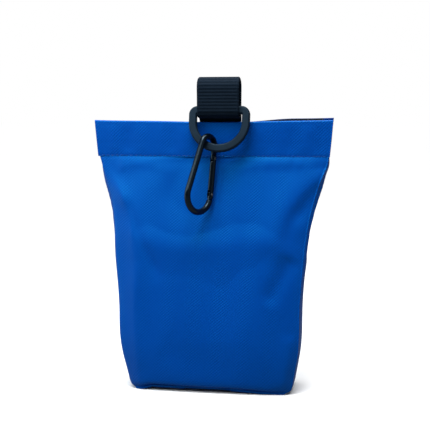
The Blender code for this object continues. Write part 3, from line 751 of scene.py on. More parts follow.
def along_path(x, z, path):
    """Signed distance to a line of points (one sign each side) and the share of it passed."""
    best = np.full(x.shape, 1e9)
    sign = np.ones(x.shape)
    share = np.zeros(x.shape)
    lengths = [math.dist(a, b) for a, b in zip(path, path[1:])]
    total = sum(lengths)
    passed = 0.0
    for (ax, az), (bx, bz), length in zip(path, path[1:], lengths):
        dx, dz = (bx - ax) / length, (bz - az) / length
        t = np.clip((x - ax) * dx + (z - az) * dz, 0.0, length)
        ox, oz = x - ax - t * dx, z - az - t * dz
        gap = np.hypot(ox, oz)
        side = np.where(ox * -dz + oz * dx > 0, 1.0, -1.0)
        near = gap < best
        best = np.where(near, gap, best)
        sign = np.where(near, side, sign)
        share = np.where(near, (passed + t) / total, share)
        passed += length
    return best * sign, share


def crease(x, z, path, height, left, right):
    """A soft ridge (or, below zero, a valley) along a path, each side with its own reach."""
    gap, share = along_path(x, z, path)
    reach = np.where(gap > 0, right, left)
    fade = smooth(share / 0.18) * smooth((1 - share) / 0.22)
    return height * bump(gap / reach) * fade


LEFT_EDGE = (
    (-0.0640, 0.132), (-0.0560, 0.118), (-0.0485, 0.106), (-0.0430, 0.090), (-0.0420, 0.060),
    (-0.0410, 0.010),
)
LEFT_VALLEY = (
    (-0.0540, 0.1160), (-0.0490, 0.1064), (-0.0436, 0.0960), (-0.0401, 0.0884), (-0.0325, 0.0760),
    (-0.0270, 0.0660),
)
RIGHT_RIDGE = (
    (0.0670, 0.1325), (0.0603, 0.1245), (0.0515, 0.1168), (0.0460, 0.1090), (0.0430, 0.1000),
    (0.0415, 0.0880), (0.0400, 0.076),
)
RIGHT_VALLEY = (
    (0.0655, 0.1265), (0.0620, 0.1190), (0.0555, 0.1100), (0.0480, 0.1015), (0.0455, 0.0930),
    (0.0462, 0.0830),
)
LOW_VALLEY = ((0.0500, 0.0830), (0.0440, 0.0730), (0.0390, 0.0650), (0.0330, 0.0540))
LEFT_ARC = ((-0.0600, 0.1290), (-0.0480, 0.1330), (-0.0360, 0.1335), (-0.0180, 0.1290))
RIGHT_ARC = ((0.0120, 0.1300), (0.0260, 0.1335), (0.0480, 0.1340), (0.0660, 0.1320))
LOW_RIGHT = ((0.0480, 0.040), (0.0460, 0.022), (0.0430, 0.004))
LOW_FOLD = ((-0.030, 0.030), (-0.006, 0.022), (0.022, 0.018))
BACK_RIDGE = ((0.060, 0.134), (0.040, 0.116), (0.022, 0.092))
BACK_VALLEY = ((0.062, 0.130), (0.044, 0.108), (0.034, 0.080), (0.036, 0.050))
BACK_LOW = ((-0.036, 0.046), (-0.008, 0.036), (0.026, 0.040))

# path, height, and reach to its two sides, in metres
FRONT_FOLDS = (
    (LEFT_EDGE, 0.0005, 0.0040, 0.0060),
    (LEFT_VALLEY, -0.0009, 0.0045, 0.0038),
    (RIGHT_RIDGE, 0.0014, 0.0110, 0.0060),
    (RIGHT_VALLEY, -0.0007, 0.0045, 0.0050),
    (LOW_VALLEY, -0.0010, 0.0050, 0.0050),
    (LEFT_ARC, 0.0005, 0.0030, 0.0075),
    (RIGHT_ARC, 0.0006, 0.0030, 0.0085),
    (LOW_RIGHT, 0.0007, 0.0050, 0.0030),
    (LOW_FOLD, -0.0005, 0.0090, 0.0120),
)
# the same for the back, after -1 for a path that is mirrored left to right, or 1
BACK_FOLDS = (
    (-1, LEFT_EDGE, 0.0009, 0.0045, 0.0080),
    (-1, BACK_RIDGE, 0.0013, 0.0080, 0.0060),
    (1, BACK_VALLEY, -0.0013, 0.0080, 0.0080),
    (1, BACK_LOW, -0.0009, 0.0080, 0.0110),
)
# how far the two sides are drawn in, or bulge out below zero: amount, height and reach
LEFT_SIDE = ((0.0027, 0.108, 0.020), (0.0026, 0.008, 0.018))
RIGHT_SIDE = ((0.0015, 0.102, 0.024), (0.0010, 0.012, 0.012), (-0.0013, 0.1335, 0.0075))
KNOB = (0.0530, 0.0985, 0.0006, 0.0050, 0.0060)    # small swell: x, z, height and its two reaches


def front_folds(x, z):
    """How far the front wall stands out (metres) beyond its plain shape."""
    out = 0.0
    for fold in FRONT_FOLDS:
        out = out + crease(x, z, *fold)
    at_x, at_z, height, wide, tall = KNOB
    return out + height * bump((x - at_x) / wide) * bump((z - at_z) / tall)


def back_folds(x, z):
    out = 0.0
    for mirror, *fold in BACK_FOLDS:
        out = out + crease(mirror * x, z, *fold)
    return out


def seam_shape(z):
    """The wall tucks in under the casing's edge."""
    return -SEAM_TUCK * bump((CASING_Z - z) / 0.0013)


def puckers(x, z, side):
    """Small gathers that the casing's stitching pulls into the cloth below it."""
    below = CASING_Z - z
    ripple = np.sin(x * 2 * math.pi / 0.0061 + 0.8 * side)
    ripple = ripple + 0.7 * np.sin(x * 2 * math.pi / 0.0087 + 1.9)
    return PUCKER * ripple * bump((below - 0.0025) / 0.0042)


def bottom_lift(x):
    """The front's lower edge is drawn up between its two feet, most on the left."""
    return FOOT_LIFT * smooth((x + 0.0420) / 0.0090) * smooth((0.0470 - x) / 0.0420)


def side_shift(z, parts):
    """How far a side is drawn in at each height."""
    return sum(amount * bump((z - middle) / reach) for amount, middle, reach in parts)


def calm(shift, times):
    """The same movement with its narrow wrinkles across the wall smoothed away."""
    out = shift.copy()
    for _ in range(times):
        y = out[..., 1]
        y[:, 1:-1] = 0.25 * y[:, :-2] + 0.5 * y[:, 1:-1] + 0.25 * y[:, 2:]
    return out


def finish_wall(points, shift, side):
    """Rest shape, plus the simulated drape, plus the listed folds."""
    x, z = points[..., 0], points[..., 2]
    shift = capped(shift)
    folds = front_folds(x, z) if side < 0 else back_folds(x, z)
    out = folds + seam_shape(z) + puckers(x, z, side) + side * shift[..., 1]
    if side < 0:
        room = hardware_room(x, z)
        out = np.where(out > 0, out * (1 - room), out * (1 - 0.5 * room))
    half = straight_width(z)
    edge = clamp(np.abs(x) / half)
    roll = -EDGE_ROLL * bump((1 - edge) * half / EDGE_REACH)
    moved = points.copy()
    pull = np.where(x < 0, side_shift(z, LEFT_SIDE), side_shift(z, RIGHT_SIDE)) * edge ** 4
    moved[..., 0] += shift[..., 0] - np.sign(x) * (pull + roll * -EDGE_SPREAD)
    moved[..., 1] += side * (out + roll)
    moved[..., 2] += shift[..., 2] * smooth(z / 0.01) * smooth((CASING_Z - z) / 0.006)
    if side < 0:
        moved[..., 2] += bottom_lift(x) * clamp(1 - z / 0.020) ** 2
    moved[..., 2] = np.maximum(moved[..., 2], FLOOR_GAP)
    return moved


# --- meshes ---
def grid_normals(grid, outward):
    """Unit normals of a grid of points, turned towards a rough outward direction."""
    du = np.gradient(grid, axis=1)
    dv = np.gradient(grid, axis=0)
    n = unit(np.cross(du, dv))
    flip = np.sign(np.sum(n * outward, axis=-1, keepdims=True))
    flip[flip == 0] = 1
    return n * flip


def cloth_uv(grid):
    """Lengths along a grid's rows and columns, so that the weave keeps its size."""
    across = np.linalg.norm(np.diff(grid, axis=1), axis=-1)
    u = np.concatenate([np.zeros((len(grid), 1)), np.cumsum(across, axis=1)], axis=1)
    u -= u[:, [u.shape[1] // 2]]
    up = np.linalg.norm(np.diff(grid, axis=0), axis=-1)
    v = np.concatenate([np.zeros((1, grid.shape[1])), np.cumsum(up, axis=0)], axis=0)
    v = np.broadcast_to(v[:, [v.shape[1] // 2]], v.shape)
    return np.stack([u, v], -1)


def sheet_object(name, outer, normals, thick, uv, wear, mat, ends=(True, True)):
    """Cloth of one thickness from a grid of outer points.

    ends says whether its first and last columns are closed.
    """
    rows, cols = outer.shape[:2]
    inner = outer - normals * thick
    inner[..., 2] = np.maximum(inner[..., 2], FLOOR_GAP)
    points = np.concatenate([outer.reshape(-1, 3), inner.reshape(-1, 3)])
    both = np.concatenate([normals.reshape(-1, 3), -normals.reshape(-1, 3)])
    ids = np.arange(rows * cols).reshape(rows, cols)
    back = ids + rows * cols
    quads = grid_quads(ids)
    probe = points[quads[len(quads) // 2]]
    facing = np.dot(np.cross(probe[1] - probe[0], probe[3] - probe[0]), both[quads[len(quads) // 2][0]])
    if facing < 0:
        quads = quads[:, ::-1]
    under = quads[:, ::-1] + rows * cols
    rims = []
    strips = [(ids[0], back[0]), (ids[-1], back[-1])]
    if ends[0]:
        strips.append((ids[:, 0], back[:, 0]))
    if ends[1]:
        strips.append((ids[:, -1], back[:, -1]))
    for a, b in strips:
        rims.append(np.stack([a[:-1], a[1:], b[1:], b[:-1]], -1))
    rim = np.concatenate(rims)
    faces = np.concatenate([quads, under, rim])
    mesh = bpy.data.meshes.new(name)
    mesh.from_pydata(points.tolist(), [], faces.tolist())
    loop_normals = both[faces.ravel()].reshape(-1, 4, 3)
    first = len(quads) + len(under)
    corners = points[rim]
    flat = unit(np.cross(corners[:, 1] - corners[:, 0], corners[:, 3] - corners[:, 0]))
    loop_normals[first:] = flat[:, None, :]
    layer = mesh.uv_layers.new(name="UVMap")
    flat_uv = np.concatenate([uv.reshape(-1, 2)] * 2)
    layer.data.foreach_set("uv", flat_uv[faces.ravel()].astype(np.float32).ravel())
    # on the walls the wear attribute also carries the highlight painted under the casing's seam
    marks = mesh.attributes.new("wear", "FLOAT", "POINT")
    marks.data.foreach_set("value", np.concatenate([wear.ravel()] * 2).astype(np.float32))
    mesh.materials.append(mat)
    mesh.polygons.foreach_set("use_smooth", np.ones(len(faces), bool))
    mesh.normals_split_custom_set(loop_normals.reshape(-1, 3).tolist())
    return link(bpy.data.objects.new(name, mesh))


def bend_with(obj, right):
    """Bakes the half's placement into its mesh; the side seam's line and the inward direction beside it
    are worked out but not used.
    """
    sx = 1 if right else -1
    top = Vector((sx * SIDE_TOP, 0.0, TAPER_TOP_Z))
    low = Vector((sx * SIDE_LOW, 0.0, TAPER_LOW_Z))
    line = (low - top).normalized()
    inwards = Vector((-sx, 0.0, 0.0))
    inwards = (inwards - line * inwards.dot(line)).normalized()
    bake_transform(obj)


def halves(name, grid, normals, thick, wear, mat, node):
    """Left and right half of a full-width sheet, each an object of its own."""
    middle = grid.shape[1] // 2
    uv = cloth_uv(grid)
    for tag, cut in (("left", slice(0, middle + 1)), ("right", slice(middle, None))):
        ends = (tag == "left", tag == "right")
        part = sheet_object(f"{name}_{tag}", grid[:, cut], normals[:, cut], thick,
                            uv[:, cut], wear[:, cut], mat, ends)
        bend_with(part, tag == "right")
        if node:
            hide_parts(node)


# --- walls, gusset and casings ---
def wall_wear_and_seam_highlight(grid):
    """More wear beside the side seams and at the feet; the cloth just under the casing's seam is lightened
    too, a painted highlight.
    """
    x, z = grid[..., 0], grid[..., 2]
    side = bump((1 - np.abs(x) / straight_width(np.clip(z, 0, CASING_Z))) * 0.05 / 0.0022)
    foot = bump(z / 0.006)
    # the last term is a painted highlight: the cloth just under the casing's seam is lightened
    return clamp(0.7 * side + 0.6 * foot + 0.35 * bump((CASING_Z - z) / 0.004))


def build_wall(side, shift):
    """Panel, lining and casing of one wall. Returns the panel's draped grid."""
    prefix = "front" if side < 0 else "back"
    rest = wall_rest(np.linspace(-1, 1, WALL_COLS), np.linspace(0, 1, WALL_ROWS), side)
    fine = resample(calm(shift, FRONT_CALM if side < 0 else BACK_CALM), WALL_ROWS, WALL_COLS)
    grid = finish_wall(rest, fine, side)
    normals = grid_normals(grid, np.array([0.0, side, -0.5]))
    halves(prefix + "_cloth", grid, normals, CLOTH, wall_wear_and_seam_highlight(grid),
           MATS["shell"], prefix + "_panel")
    pick_r = np.round(np.linspace(2, WALL_ROWS - 1, LINING_ROWS)).astype(int)
    pick_c = np.round(np.linspace(1, WALL_COLS - 2, LINING_COLS)).astype(int)
    skin = (grid - normals * LINING_IN)[pick_r][:, pick_c]
    skin_n = normals[pick_r][:, pick_c]
    skin[..., 2] = np.maximum(skin[..., 2], LINING_FLOOR)
    halves(prefix + "_lining_cloth", skin, skin_n, LINING, np.zeros(skin.shape[:2]),
           MATS["lining"], prefix + "_lining")
    build_casing(side, prefix)
    return grid


def mouth_rise(x, side):
    """How far the mouth's edge stands above or below its mean height."""
    ends = clamp(np.abs(x) / CASING_HALF)
    if side < 0:
        return END_LIFT * ends ** 6 - FRONT_SAG * bump((x - 0.004) / 0.030)
    ear = BACK_EAR * bump((x + 0.0660) / 0.0035)
    right = BACK_RISE * smooth((x - 0.014) / 0.034)
    return ear + END_LIFT * ends ** 6 * (x > 0) + right - BACK_SINK


def casing_waves(x, z, side):
    """The hem is a little uneven: the steel strip shows through and the stitching draws it in."""
    steel = STEEL_SHOWS * smooth((z - STRIP_LOW_Z) / 0.0030) * smooth((STRIP_TOP_Z - z) / 0.0030)
    ripple = np.sin(x * 2 * math.pi / 0.0235 + 0.7 * side)
    ripple = ripple + 0.8 * np.sin(x * 2 * math.pi / 0.0142 + 2.1)
    loose = HEM_RIPPLE * ripple * smooth((z - CASING_Z - 0.0010) / 0.005)
    loose = loose * smooth((STRIP_TOP_Z - z) / 0.006)
    gather = HEM_GATHER * np.sin(x * 2 * math.pi / 0.0030) * bump((z - STITCH_Z) / 0.0014)
    groove = -SEAM_TUCK * bump((z - CASING_Z) / 0.0011)
    return steel + loose + gather + groove


def casing_grid(xs, profile, side):
    """Points of the hem's surface from (depth behind the outer face, height) pairs."""
    d = np.array([p[0] for p in profile])[:, None]
    z = np.array([p[1] for p in profile])[:, None]
    x = np.broadcast_to(xs, (len(profile), len(xs)))
    lift = mouth_rise(x, side) * smooth((z - STRIP_LOW_Z) / 0.012)
    out = casing_waves(x, z, side) * (1 - smooth(d / 0.0012))
    y = side * (casing_depth(x) - d + out)
    return np.stack([hem_x(x, z), y, z + lift], -1)


def build_casing(side, prefix):
    """The hem that holds the steel strip: cloth outside and over the top, dark facing inside."""
    roll = CASING_DEEP / 2
    centre = MOUTH_Z - FOLD_HIGH

    def fold(start, stop, count):
        turns = np.linspace(start, stop, count)
        return [(roll - roll * math.cos(t), centre + FOLD_HIGH * math.sin(t)) for t in turns]

    seam_rows = CASING_Z + 0.00004 + np.array([0, 0.0003, 0.0006, 0.0009, 0.0012, 0.0016, 0.0021, 0.0028])
    face = [(0.0, z) for z in seam_rows]
    face += [(0.0, z) for z in np.linspace(CASING_Z + 0.0036, centre, 26)]
    over = fold(0.15, 1.95, 9)
    xs = np.linspace(-CASING_HALF, CASING_HALF, 211)
    grid = casing_grid(xs, face + over, side)
    normals = grid_normals(grid, np.array([0.0, side, 0.6]))
    wear = bump((grid[..., 2] - MOUTH_Z) / 0.0016) * 0.8
    wear = clamp(wear + 0.5 * bump((np.abs(grid[..., 0]) - CASING_HALF) / 0.0015))
    halves(prefix + "_casing_cloth", grid, normals, CLOTH, wear,
           MATS["casing"], prefix + "_casing")
    turn = fold(1.80, math.pi, 7)
    down = [(CASING_DEEP, z) for z in np.linspace(centre - 0.0004, CASING_Z + 0.0004, 14)]
    inner = np.linspace(-CASING_INNER_HALF, CASING_INNER_HALF, 97)
    grid = casing_grid(inner, [(d - 0.00012, z - 0.00012) for d, z in turn + down], side)
    normals = grid_normals(grid, np.array([0.0, -side, 0.2]))
    halves(prefix + "_facing", grid, normals, FACING, np.zeros(grid.shape[:2]),
           MATS["lining"], None)

    def line(x):
        return (float(hem_x(x, STITCH_Z)), side * (casing_depth(x) - 0.6 * SEAM_TUCK), STITCH_Z)

    near, far = 0.0002, CASING_HALF - 0.002
    for tag, low, high in (("left", -far, -near), ("right", near, far)):
        row = stitch_row(f"{prefix}_casing_stitches_{tag}", line, low, high, (0.0, side, 0.0), 0.0030,
                         MATS["thread"], radius=0.00010)
        bend_with(row, tag == "right")


def raise_row(row, heights):
    """Copies of the gusset's top row up between the casings, following the side's slant."""
    wide = straight_width(heights) * 0.5 + SIDE_TOP * casing_taper(heights) * 0.5
    wide = np.minimum(wide, CASING_HALF * casing_taper(heights) - 0.0002) / np.abs(row[:, 0]).max()
    out = np.repeat(row[None], len(heights), axis=0)
    out[..., 0] *= wide[:, None]
    out[..., 0] *= np.where(out[..., 0] > 0, HEM_RIGHT, 1.0)
    out[..., 2] = heights[:, None]
    return out


def build_gusset(shift, front, back):
    """Side strips and base in one, its edges lying exactly on the two walls' edges."""
    across = np.linspace(-1, 1, GUSSET_ACROSS)
    rest = gusset_rest(gusset_frame(WALL_ROWS, WALL_COLS), across)
    a, b = SIM_ROWS - 1, SIM_ROWS + SIM_COLS - 2
    left = resample(shift[:a + 1], WALL_ROWS, GUSSET_ACROSS)
    under = resample(shift[a:b + 1], WALL_COLS, GUSSET_ACROSS)
    right = resample(shift[b:], WALL_ROWS, GUSSET_ACROSS)
    move = np.concatenate([left, under[1:-1], right])
    grid = rest + capped(move)
    share = (across[None, :, None] + 1) / 2
    for wall, weight, column in ((front, 1 - share, 0), (back, share, -1)):
        edge = np.concatenate([wall[::-1, 0], wall[0, 1:-1], wall[:, -1]])
        grid = grid + weight * (edge - grid[:, column])[:, None, :]
    sunk = smooth((0.0012 - rest[..., 2]) / 0.0012) * (1 - np.abs(across)[None, :] ** 8)
    grid[..., 2] = np.maximum(grid[..., 2] + BASE_SUNK * sunk * (1 - np.abs(across)[None, :]), FLOOR_GAP)
    heights = np.linspace(CASING_Z + 0.0012, MOUTH_Z - 0.0006, RISE_ROWS)
    first, last = raise_row(grid[0], heights[::-1]), raise_row(grid[-1], heights)
    grid = np.concatenate([first, grid, last])
    middle = len(grid) // 2
    outward = np.zeros(grid.shape)
    outward[..., 0] = np.sign(grid[..., 0]) * smooth(grid[..., 2] / 0.006)
    outward[..., 2] = -1 + smooth(grid[..., 2] / 0.006)
    normals = grid_normals(grid, outward)
    wear = 0.8 * bump((1 - np.abs(across))[None, :] * 0.02 / 0.0022) * np.ones(grid.shape[:2])
    wear += 0.5 * bump(grid[..., 2] / 0.004)
    uv = cloth_uv(grid.swapaxes(0, 1)).swapaxes(0, 1)
    shell = sheet_object("gusset_cloth", grid, normals, CLOTH, uv, clamp(wear), MATS["shell"])
    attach(shell, "base")
    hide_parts("gusset")
    reach = middle - RISE_ROWS - 4      # the lining ends below the casings
    keep = np.array([r for r in range(len(grid)) if abs(r - middle) < reach])
    inside = (grid - normals * LINING_IN)[keep][:, 1:-1]
    inside[..., 2] = np.maximum(inside[..., 2], LINING_FLOOR)
    lining = sheet_object("gusset_lining_cloth", inside, normals[keep][:, 1:-1], LINING,
                          uv[keep][:, 1:-1], np.zeros(inside.shape[:2]), MATS["lining"])
    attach(lining, "base")
    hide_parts("lining_gusset")


# --- flex frame ---
def build_strip(side):
    """Sprung steel strip in the hem, with eyes rolled round the pins at its two ends."""
    prefix = "front" if side < 0 else "back"
    for tag, sx in (("left", -1), ("right", 1)):
        blade = [(x, casing_depth(x) - STRIP_OFF) for x in np.linspace(0, STRIP_HALF, 34)]
        neck = (STRIP_HALF + 0.3 * (PIN_X - STRIP_HALF), blade[-1][1] * 0.88)
        eye = []
        for t in np.radians(np.linspace(125, -165, 18)):
            eye.append((PIN_X + KNUCKLE_R * math.cos(t), KNUCKLE_R * math.sin(t)))
        bands = [(STRIP_LOW_Z, STRIP_TOP_Z, blade)]
        ears = [(KNUCKLE_LOW_Z, KNUCKLE_TOP_Z)] if side > 0 else [
            (STRIP_LOW_Z, KNUCKLE_LOW_Z - 0.0002), (KNUCKLE_TOP_Z + 0.0002, STRIP_TOP_Z)]
        bands += [(low, high, blade[-1:] + [neck] + eye) for low, high in ears]
        parts = []
        for low, high, plan in bands:
            zs = np.linspace(low, high, 7)
            path = np.array(plan)
            grid = np.array([[(sx * x, side * y, z) for x, y in path] for z in zs])
            tangent = np.gradient(path, axis=0)
            n = unit(np.stack([tangent[:, 1] * -sx, side * tangent[:, 0], 0 * tangent[:, 0]], -1))
            normals = np.broadcast_to(n, grid.shape).copy()
            outer = grid + normals * STRIP_THICK / 2
            name = f"{prefix}_strip_{tag}_{len(parts)}"
            parts.append(sheet_object(name, outer, normals, STRIP_THICK, cloth_uv(outer),
                                      np.zeros(grid.shape[:2]), MATS["spring"]))
        strip = join(parts, f"{prefix}_strip_{tag}")
        bend_with(strip, sx > 0)
        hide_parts(prefix + "_frame_strip")


def join(parts, name):
    with bpy.context.temp_override(active_object=parts[0], selected_editable_objects=parts):
        bpy.ops.object.join()
    parts[0].name = name
    return parts[0]


# --- tubes, stitches and hardware ---
def loft_object(name, rings, mat, closed=False, sharp=None, uv=None):
    """Solid through equal rings of points (rings, count, 3)."""
    rings = np.asarray(rings, float)
    many, count = rings.shape[:2]
    ids = np.arange(many * count).reshape(many, count)
    nxt = np.roll(ids, -1, axis=1)
    last = many if closed else many - 1
    a, b = ids[:last], nxt[:last]
    c, d = np.roll(nxt, -1, axis=0)[:last], np.roll(ids, -1, axis=0)[:last]
    faces = np.stack([a, b, c, d], -1).reshape(-1, 4).tolist()
    if not closed:
        faces.append(ids[0][::-1].tolist())
        faces.append(ids[-1].tolist())
    mesh = bpy.data.meshes.new(name)
    mesh.from_pydata(rings.reshape(-1, 3).tolist(), [], faces)
    if uv is not None:
        layer = mesh.uv_layers.new(name="UVMap")
        flat = np.asarray(uv, float).reshape(-1, 2)
        for poly in mesh.polygons:
            for loop in poly.loop_indices:
                layer.data[loop].uv = flat[mesh.loops[loop].vertex_index]
    mesh.validate()
    fix_outwards(mesh)
    mesh.polygons.foreach_set("use_smooth", np.ones(len(mesh.polygons), bool))
    if sharp:
        mesh.set_sharp_from_angle(angle=math.radians(sharp))
    mesh.materials.append(mat)
    return link(bpy.data.objects.new(name, mesh))


def fix_outwards(mesh):
    bm = bmesh.new()
    bm.from_mesh(mesh)
    bmesh.ops.recalc_face_normals(bm, faces=bm.faces)
    bm.to_mesh(mesh)
    bm.free()


def stitch_row(name, line, low, high, out, pitch, mat, radius=0.00013):
    """A row of lock stitches along line(t), each dipping into the cloth at its ends."""
    out = np.array(out, float)
    count = max(1, int(round((high - low) / pitch)))
    step = (high - low) / count
    verts, faces = [], []
    for k in range(count):
        ts = low + step * (k + np.linspace(0.07, 0.93, 7))
        centre = np.array([line(t) for t in ts], float)
        arch = np.sin(np.linspace(0, math.pi, 7))
        centre += out * (radius * (1.5 * arch ** 0.6 - 1.0))[:, None]
        along = unit(np.gradient(centre, axis=0))
        side = unit(np.cross(along, out))
        up = np.cross(side, along)
        base = len(verts)
        thick = radius * (0.75 + 0.35 * arch)
        for p, s, u, r in zip(centre, side, up, thick):
            for n in range(6):
                t = math.pi / 3 * n
                verts.append(tuple(p + r * (s * math.cos(t) + u * math.sin(t))))
        for i in range(6):
            low_ring = base + 6 * i
            for n in range(6):
                m = (n + 1) % 6
                faces.append((low_ring + n, low_ring + m, low_ring + 6 + m, low_ring + 6 + n))
        faces.append(tuple(base + n for n in range(6))[::-1])
        faces.append(tuple(base + 36 + n for n in range(6)))
    mesh = bpy.data.meshes.new(name)
    mesh.from_pydata(verts, [], faces)
    mesh.polygons.foreach_set("use_smooth", np.ones(len(mesh.polygons), bool))
    mesh.materials.append(mat)
    fix_outwards(mesh)
    return link(bpy.data.objects.new(name, mesh))


def arc(cy, cz, radius, start, stop, count):
    turn = np.radians(np.linspace(start, stop, count))
    return [(cy + radius * math.cos(t), cz + radius * math.sin(t)) for t in turn]


def bezier(p0, p1, p2, p3, count):
    t = np.linspace(0, 1, count)[:, None]
    p0, p1, p2, p3 = (np.array(p, float) for p in (p0, p1, p2, p3))
    curve = (1 - t) ** 3 * p0 + 3 * t * (1 - t) ** 2 * p1 + 3 * t * t * (1 - t) * p2 + t ** 3 * p3
    return [tuple(p) for p in curve]


def even_path(points, step):
    """The same line with points at an even spacing."""
    points = np.array(points, float)
    run = np.concatenate([[0], np.cumsum(np.linalg.norm(np.diff(points, axis=0), axis=-1))])
    t = np.linspace(0, run[-1], int(run[-1] / step) + 1)
    return np.stack([np.interp(t, run, points[:, i]) for i in range(points.shape[1])], -1), t


def webbing_path():
    arch_r = (WEB_REAR_Y - (RING_Y - WRAP_R)) / 2
    arch_y = (WEB_REAR_Y + (RING_Y - WRAP_R)) / 2
    arch_z = WEB_TOP_Z - WEB_THICK / 2 - arch_r
    rise = MOUTH_Z - 0.0004
    under = RING_Z - WRAP_R
    path = [(WEB_FRONT_Y, z) for z in np.linspace(WEB_LOW_Z, rise - 0.003, 6)]
    pull = ((WEB_FRONT_Y, under - 0.0012), (-0.0036, under))
    path += bezier((WEB_FRONT_Y, rise), *pull, (RING_Y, under), 24)
    path += arc(RING_Y, RING_Z, WRAP_R, -90, -180, 24)[1:]
    path += arc(arch_y, arch_z, arch_r, 180, 0, 40)
    path += [(WEB_REAR_Y, z) for z in np.linspace(arch_z - 0.006, WEB_LOW_Z, 12)]
    return path


def build_webbing():
    """Belt loop: ribbed webbing with round selvages, sewn between the two casings."""
    path, run = even_path(webbing_path(), 0.00026)
    for _ in range(6):
        path[1:-1] = 0.25 * path[:-2] + 0.5 * path[1:-1] + 0.25 * path[2:]
    tangent = unit(np.gradient(path, axis=0))
    normal = np.stack([-tangent[:, 1], tangent[:, 0]], -1)
    half, thick = WEB_WIDE / 2, WEB_THICK / 2
    across = np.linspace(-1, 1, 33)
    flat = half - thick
    section = [(a * flat, 1.0) for a in across]
    section += [(flat + thick * math.cos(t), math.sin(t)) for t in np.radians([60, 30, 0, -30, -60])]
    section += [(-a * flat, -1.0) for a in across]
    section += [(-flat + thick * math.cos(t), math.sin(t)) for t in np.radians([240, 210, 180, 150, 120])]
    section = np.array(section)
    rings = []
    uv = []
    for (y, z), (ny, nz), s in zip(path, normal, run):
        phase = 2 * math.pi * s / RIB
        edge = clamp((np.abs(section[:, 0]) - flat + SELVAGE) / SELVAGE)
        rib = np.cos(phase) * (1 - edge) + 0.55 * np.cos(2 * phase + 0.6) * edge
        height = thick + 0.000085 * (rib - 0.6) * np.abs(section[:, 1])
        height += 0.000035 * edge
        top = bump((z - WEB_TOP_Z) / 0.0014)
        narrow = 1 - 0.030 * top - 0.006 * bump((z - 0.168) / 0.006)
        x = WEB_X + section[:, 0] * narrow
        off = section[:, 1] * height
        rings.append(np.stack([x, y + ny * off, z + nz * off], -1))
        uv.append(np.stack([section[:, 0], np.full(len(section), s)], -1))
    loop = loft_object("webbing_ribbed_loop", rings, MATS["webbing"], sharp=70, uv=uv)
    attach(loop, "front_wall")
    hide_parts("webbing_loop")
    build_box_stitch()


def build_box_stitch():
    """Box with a cross, sewn through the loop's rear leg inside the mouth."""
    y = WEB_REAR_Y + WEB_THICK / 2 - 0.00004
    left, right = WEB_X - BOX_HALF, WEB_X + BOX_HALF
    low, high = BOX_Z
    corners = ((left, low), (right, low), (right, high), (left, high))
    sides = [(corners[k], corners[(k + 1) % 4]) for k in range(4)]
    sides += [(corners[0], corners[2]), (corners[1], corners[3])]
    rows = []
    for k, (a, b) in enumerate(sides):
        def line(t, a=a, b=b):
            return (a[0] + (b[0] - a[0]) * t, y, a[1] + (b[1] - a[1]) * t)
        span = math.dist(a, b)
        rows.append(stitch_row(f"box_stitch_{k}", line, 0.0, 1.0, (0, 1, 0), 0.0024 / span,
                               MATS["dark_thread"]))
    box = join(rows, "loop_box_stitch")
    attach(box, "front_wall")


def ring_matrix():
    return Matrix.Translation((RING_X, RING_Y, RING_Z)) @ Matrix.Rotation(RING_TILT, 4, "X")


def ring_path():
    bar = RING_R - RING_CORNER
    right = arc(bar, -RING_CORNER, RING_CORNER, 90, 0, 20)
    bow = arc(0.0, -RING_DROP, RING_R, 0, -180, 110)[1:-1]
    left = arc(-bar, -RING_CORNER, RING_CORNER, 180, 90, 20)
    top = [(x, 0.0) for x in np.linspace(-bar, bar, 30)[1:-1]]
    return np.array(right + bow + left + top)


def rounded_section(wide, thick, chamfer, radius, steps=4):
    """Chamfered rectangle, each of its eight corners rounded a little."""
    w, h = wide - chamfer, thick - chamfer
    corners = [
        (wide, h), (w, thick), (-w, thick), (-wide, h), (-wide, -h), (-w, -thick), (w, -thick), (wide, -h),
    ]
    out = []
    for k, here in enumerate(corners):
        before = np.array(corners[k - 1]) - here
        after = np.array(corners[(k + 1) % 8]) - here
        a = np.array(here) + before / np.linalg.norm(before) * radius
        b = np.array(here) + after / np.linalg.norm(after) * radius
        for t in np.linspace(0, 1, steps):
            out.append(tuple((1 - t) ** 2 * a + 2 * t * (1 - t) * np.array(here) + t * t * b))
    return np.array(out)


def build_ring():
    """Moulded D-ring with chamfered edges and a fine parting line."""
    path = ring_path()
    section = rounded_section(RING_WIDE / 2, RING_THICK / 2, RING_CHAMFER, 0.00022)
    seam = np.abs(section[:, 1]) < 0.0002
    place = np.array(ring_matrix())
    along = unit(np.roll(path, -1, axis=0) - np.roll(path, 1, axis=0))
    outward = np.stack([along[:, 1], -along[:, 0]], -1)
    rings = []
    for (x, z), (nx, nz) in zip(path, outward):
        s = section[:, 0] + np.sign(section[:, 0]) * seam * 0.00005
        pts = np.stack([x + s * nx, section[:, 1], z + s * nz, np.ones(len(section))], -1)
        rings.append((pts @ place.T)[:, :3])
    ring = loft_object("d_ring_moulded", rings, MATS["ring"], closed=True)
    weighted_normals(ring)
    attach(ring, "ring")
    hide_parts("d_ring")


def weighted_normals(obj):
    mod = obj.modifiers.new("weighted", "WEIGHTED_NORMAL")
    mod.keep_sharp = True
    mod.weight = 60
    apply_modifiers(obj)


def apply_modifiers(obj):
    graph = bpy.context.evaluated_depsgraph_get()
    mesh = bpy.data.meshes.new_from_object(obj.evaluated_get(graph), depsgraph=graph)
    obj.modifiers.clear()
    old = obj.data
    obj.data = mesh
    bpy.data.meshes.remove(old)
    mesh.name = obj.name


# --- carabiner ---
def clip_matrix():
    """Frame of the carabiner: origin at its narrow end's centre, X to the gate, Z up its length."""
    place = ring_matrix()
    x = -RING_R * math.sin(CLIP_ANGLE)
    z = -RING_DROP - RING_R * math.cos(CLIP_ANGLE)
    local = Vector((x, CLIP_SHIFT, z))
    up = -CLIP_DOWN.normalized()
    flat = Vector((math.cos(CLIP_YAW), math.sin(CLIP_YAW), 0.0))
    across = (flat - up * flat.dot(up)).normalized()
    turn = Matrix((across, up.cross(across), up)).transposed().to_4x4()
    return Matrix.Translation(place @ local) @ turn


